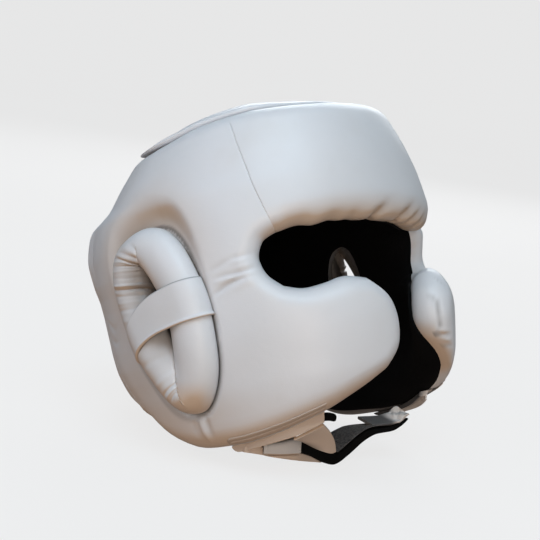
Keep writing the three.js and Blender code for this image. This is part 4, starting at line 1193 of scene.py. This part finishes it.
def build_strap():
    stations = STRAP.copy()
    stations[10:, 2] -= np.interp(np.arange(10, len(STRAP)), [10, 12, 16, 19], [0.6, 2, 1.6, 0.6])
    stations[0] += 0.25 * (STRAP[1] - STRAP[0])
    points, faces = strip(stations, 0, STRAP_WIDTH)
    points[:, 2] = np.maximum(points[:, 2], 0)
    piece("strap_chin", points, faces, WEB, "chin_strap")
    points, faces = strip(STRAP[10:17], 0.7, STRAP_WIDTH - 1.4, edge=0.3, lift=np.array([0.25, 0.95]))
    piece("strap_loop_face", points, faces, LOOP)
    points, faces = strip(BACKING, 1, STRAP_WIDTH - 2, edge=0.5, straight=True)
    # the backing is white leather; its tan is painted warm shade
    piece("strap_backing_leather", points, faces, TRIM, "strap_backing", tint=np.full(len(points), 0.75))
    points, faces = strip(FLAP_LEFT, 0, 13, edge=0.6, relief=crumpled)
    loops = (len(FLAP_LEFT) - 1) * STRIP_STEPS + 1
    share = np.repeat(np.linspace(0, 1, loops), len(points) // loops)
    # painted shade darkens the flap's inner half, and painted warm shade grows towards its end
    piece("leather_chin_flap_left", points, faces, TRIM, "chin_flap_left", tint=0.25 * share,
          shade=0.88 - 0.86 * smooth((share - 0.5) / 0.16), down_shade=0.2)


def build_strap_end():
    """The short inner end of the strap that shows behind the near cheek's binding."""
    t = np.linspace(0, 1, 14)
    middle = line(*STRAP_END)(t) + [0, FORWARD, 0]
    middle[:, 2] += 0.8 * np.sin(np.pi * t)
    spin = np.radians(np.arange(24) * 15)
    size = np.sqrt(np.clip(1 - ((t - 0.8) / 0.2).clip(0, 1) ** 2, 0.08, 1))
    outline = np.stack([0 * spin, 1.9 * squared(np.cos(spin), 0.7), 2.7 * squared(np.sin(spin), 0.7)], -1)
    points, faces = loft(middle[:, None] + size[:, None, None] * outline)
    piece("strap_inner_end", points, faces, WEB)


def keeper_loops():
    """The sleeve's inner and outer outlines at each station."""
    stations = catmull_rom(STRAP[:4], 40)
    corner, rear, inward = band_frames(stations)
    loops = []
    for grow in (KEEPER_ROOM, KEEPER_ROOM + KEEPER):
        paths = np.array([np.concatenate(rounded(-grow, STRAP_WIDTH + grow, -grow, station[3] + grow,
                                                 1 + grow - KEEPER_ROOM, 6)) for station in stations])
        loops.append(corner[:, None] + rear[:, None] * paths[..., :1] + inward[:, None] * paths[..., 1:])
    return loops


def build_keeper():
    """The sleeve around the strap: a closed band of four rounded sides, sewn at both ends."""
    inner, outer = keeper_loops()
    points, faces = loft(np.concatenate([outer, inner[::-1]]), ring=True)
    # painted warm shade and painted shade over the whole sleeve
    piece("leather_strap_keeper", points, faces, TRIM, "strap_keeper", tint=np.full(len(points), 0.12),
          shade=np.full(len(points), 0.14))
    bodies = [body for k in (3, -4) for body in stitches(outer[k])]
    points, parts = zip(*bodies)
    faces = [np.concatenate([f[i] + len(points[0]) * k for k, f in enumerate(parts)]) for i in range(3)]
    piece("stitches_strap_keeper", np.concatenate(points), faces, THREAD)


def stitches(ring, pitch=2.0, length=1.3, radius=0.26):
    """Sewing thread round a closed ring: points and faces of small closed bodies, half sunk along it."""
    ring = np.concatenate([ring, ring[:1]])
    run = run_of(ring)
    at = np.arange(pitch / 2, run[-1] - pitch / 2, pitch)
    middle = columns_at(at, run, ring)
    ahead = unit(columns_at(at + length / 2, run, ring) - columns_at(at - length / 2, run, ring))
    up = columns_at(at, run, ring - ring[:-1].mean(0))
    up = unit(up - ahead * (up * ahead).sum(1)[:, None])
    side = np.cross(ahead, up)
    share, size = np.array([(-0.5, 0.35), (-0.32, 0.85), (0, 1), (0.32, 0.85), (0.5, 0.35)]).T[:, :, None, None]
    spin = (np.arange(6) * np.pi / 3)[:, None]
    for k in range(len(at)):
        around = size * (np.cos(spin) * up[k] + np.sin(spin) * side[k])
        yield loft(middle[k] + ahead[k] * share * length + radius * (up[k] * (size - 0.55) + around))


TONGUE_FREE = np.array([(-61.9, -81.8, 27.2), (-58.3, -85, 25.2), (-54.1, -87.8, 23.1), (-47.7, -90.7, 20.6),
                        (-42, -92.9, 19.2), (-38.4, -94.2, 20)], float)


def build_tongue():
    """The leather tongue that hangs from the near cheek's binding, with a rounded outer edge."""
    count, rows = 44, 22
    phi = np.linspace(59, 44.6, count)
    upper = to_floor(skin(phi, welt_edge_at(phi) - WELT["drop"] - GAP, WELT["depth"] + 2.4))
    share = np.linspace(0, 1, count)
    free = by_length(catmull_rom(TONGUE_FREE, 200), share) + [0, FORWARD, 0]
    t = np.linspace(0, 1, rows)[:, None, None]
    along = upper[-1] - upper[0]
    face = upper * (1 - t) + free * t + unit(along) * (2.2 * np.sin(np.pi * t) * share[:, None] ** 2)
    inward = unit(np.cross(free[count // 2] - upper[count // 2], along))
    inward *= -np.sign(inward[2])
    face = face - inward * 1.1 * np.sin(np.pi * t) * np.sin(np.pi * share)[:, None]
    points, faces = loft(np.swapaxes(np.concatenate([face, face[::-1] + inward * 2.2]), 0, 1))
    # painted warm shade all over the tongue, and painted shade along its free edge, fading towards its forward
    # end
    low = np.tile(np.concatenate([t, t[::-1]]).ravel(), count)
    left = np.repeat(1 - share, 2 * rows)
    piece("leather_chin_flap_right", points, faces, TRIM, "chin_flap_right", np.full(len(points), 0.7),
          0.6 * smooth((low - 0.55) / 0.45) * smooth((left - 0.2) / 0.5))


build_side_panels()
build_forehead()
build_back()
build_crown()
build_ear_rings()
build_ear_bands()
build_welts()
build_strap()
build_strap_end()
build_keeper()
build_tongue()


# ---------------------------------------------------------------- stage, light, camera
FLOOR_GLOW = 0.95


def build_stage():
    """A pale floor that curves up into a pale wall all round.  Only the camera sees it."""
    spin = np.radians(np.arange(0, 360, 3.75))
    bend = [(3 + math.sin(a), 1 - math.cos(a)) for a in np.radians([15, 30, 45, 60, 75, 90])]
    profile = [(0.001, 0), (1, 0), (2, 0), (3, 0), *bend, (4, 6)]
    loops = np.array([np.stack([r * np.cos(spin), r * np.sin(spin), 0 * spin + h], -1) for r, h in profile])
    points, faces = loft(loops, capped=False)
    made = Finish("floor_paint")
    made.set(Base_Color=made.ramp(made.noise(2, 2), (0.11, 0.11, 0.11), (0.12, 0.12, 0.12)), Roughness=0.9,
             Specular_IOR_Level=0.0, Emission_Color=(0.807, 0.807, 0.807, 1), Emission_Strength=FLOOR_GLOW)
    obj = shown("floor", points, [faces[0][:, ::-1]], made.material)
    obj.visible_diffuse = obj.visible_glossy = obj.visible_shadow = False


# the studio's surroundings, from straight below to straight above
SURROUNDINGS = [(0.0, (0.20, 0.15, 0.12)), (0.28, (0.20, 0.17, 0.154)), (0.5, (0.20, 0.20, 0.20)),
                (0.72, (0.19, 0.20, 0.208)), (1.0, (0.19, 0.20, 0.21))]
LAMPS = [("front", -54, 8, 13.2, (1.0, 0.825, 0.674)), ("above", -54, 60, 16.3, (0.63, 0.85, 1.0)),
         ("side", -110, 25, 4.9, (0.80, 0.85, 1.0)), ("fill", 5, 2, 1.8, (0.9, 0.95, 1.0)),
         ("behind", 120, 30, 14, (0.95, 0.98, 1.0))]
LAMP_SIZE, LAMP_DISTANCE, LAMP_AIM = 1.2, 1.8, 0.11


def area_light(name, azimuth, elevation, power, colour):
    """A soft square light, where a camera at that azimuth and elevation would stand."""
    data = bpy.data.lights.new(name, "AREA")
    data.shape, data.size, data.size_y = "RECTANGLE", LAMP_SIZE, LAMP_SIZE
    data.energy, data.color = power, colour
    obj = bpy.data.objects.new(name, data)
    obj.visible_camera = False
    stand(obj, azimuth, elevation, LAMP_DISTANCE, [0, 0, LAMP_AIM])


def stand(obj, azimuth, elevation, distance, middle, roll=0.0):
    """Puts a lamp or the camera in the scene at a direction in degrees from `middle`, turned towards it."""
    a, e, r = np.radians([azimuth, elevation, roll])
    back = np.array([math.sin(a) * math.cos(e), -math.cos(a) * math.cos(e), math.sin(e)])
    right = np.cross([0, 0, 1], back)
    right /= np.linalg.norm(right)
    up = np.cross(back, right)
    rows = np.eye(4)
    rows[:3] = np.stack([math.cos(r) * right + math.sin(r) * up, -math.sin(r) * right + math.cos(r) * up, back,
                         np.asarray(middle) + back * distance], -1)
    obj.matrix_world = Matrix(rows.tolist())
    bpy.context.scene.collection.objects.link(obj)


# where the camera stands, in degrees and metres, its lens and film in millimetres, and its shift in shares of
# the photograph's width
CAMERA = dict(azimuth=-54, elevation=10, distance=1.0, middle=np.array([0, FORWARD, FLOOR_DROP]) * MM, roll=8)
LENS, FILM, SHIFT = 98, 36, (-3 / 540, 10 / 540)


def camera():
    data = bpy.data.cameras.new("camera")
    data.lens, data.sensor_width, (data.shift_x, data.shift_y) = LENS, FILM, SHIFT
    obj = bpy.data.objects.new("camera", data)
    stand(obj, **CAMERA)
    bpy.context.scene.camera = obj


def build_world():
    made = bpy.data.worlds.new("studio")
    made.use_nodes = True
    tree = made.node_tree
    split = node(tree, "SeparateXYZ", {"Vector": node(tree, "TexCoord").outputs["Generated"]})
    height = node(tree, "MapRange", {"From Min": -1, "Value": split.outputs["Z"]})
    colours = colour_ramp(tree, height.outputs["Result"], SURROUNDINGS)
    fill(tree, tree.nodes["Background"], {"Color": colours})
    bpy.context.scene.world = made


build_stage()
build_world()
for lamp in LAMPS:
    area_light(*lamp)
camera()
bpy.context.scene.view_settings.view_transform = "Standard"
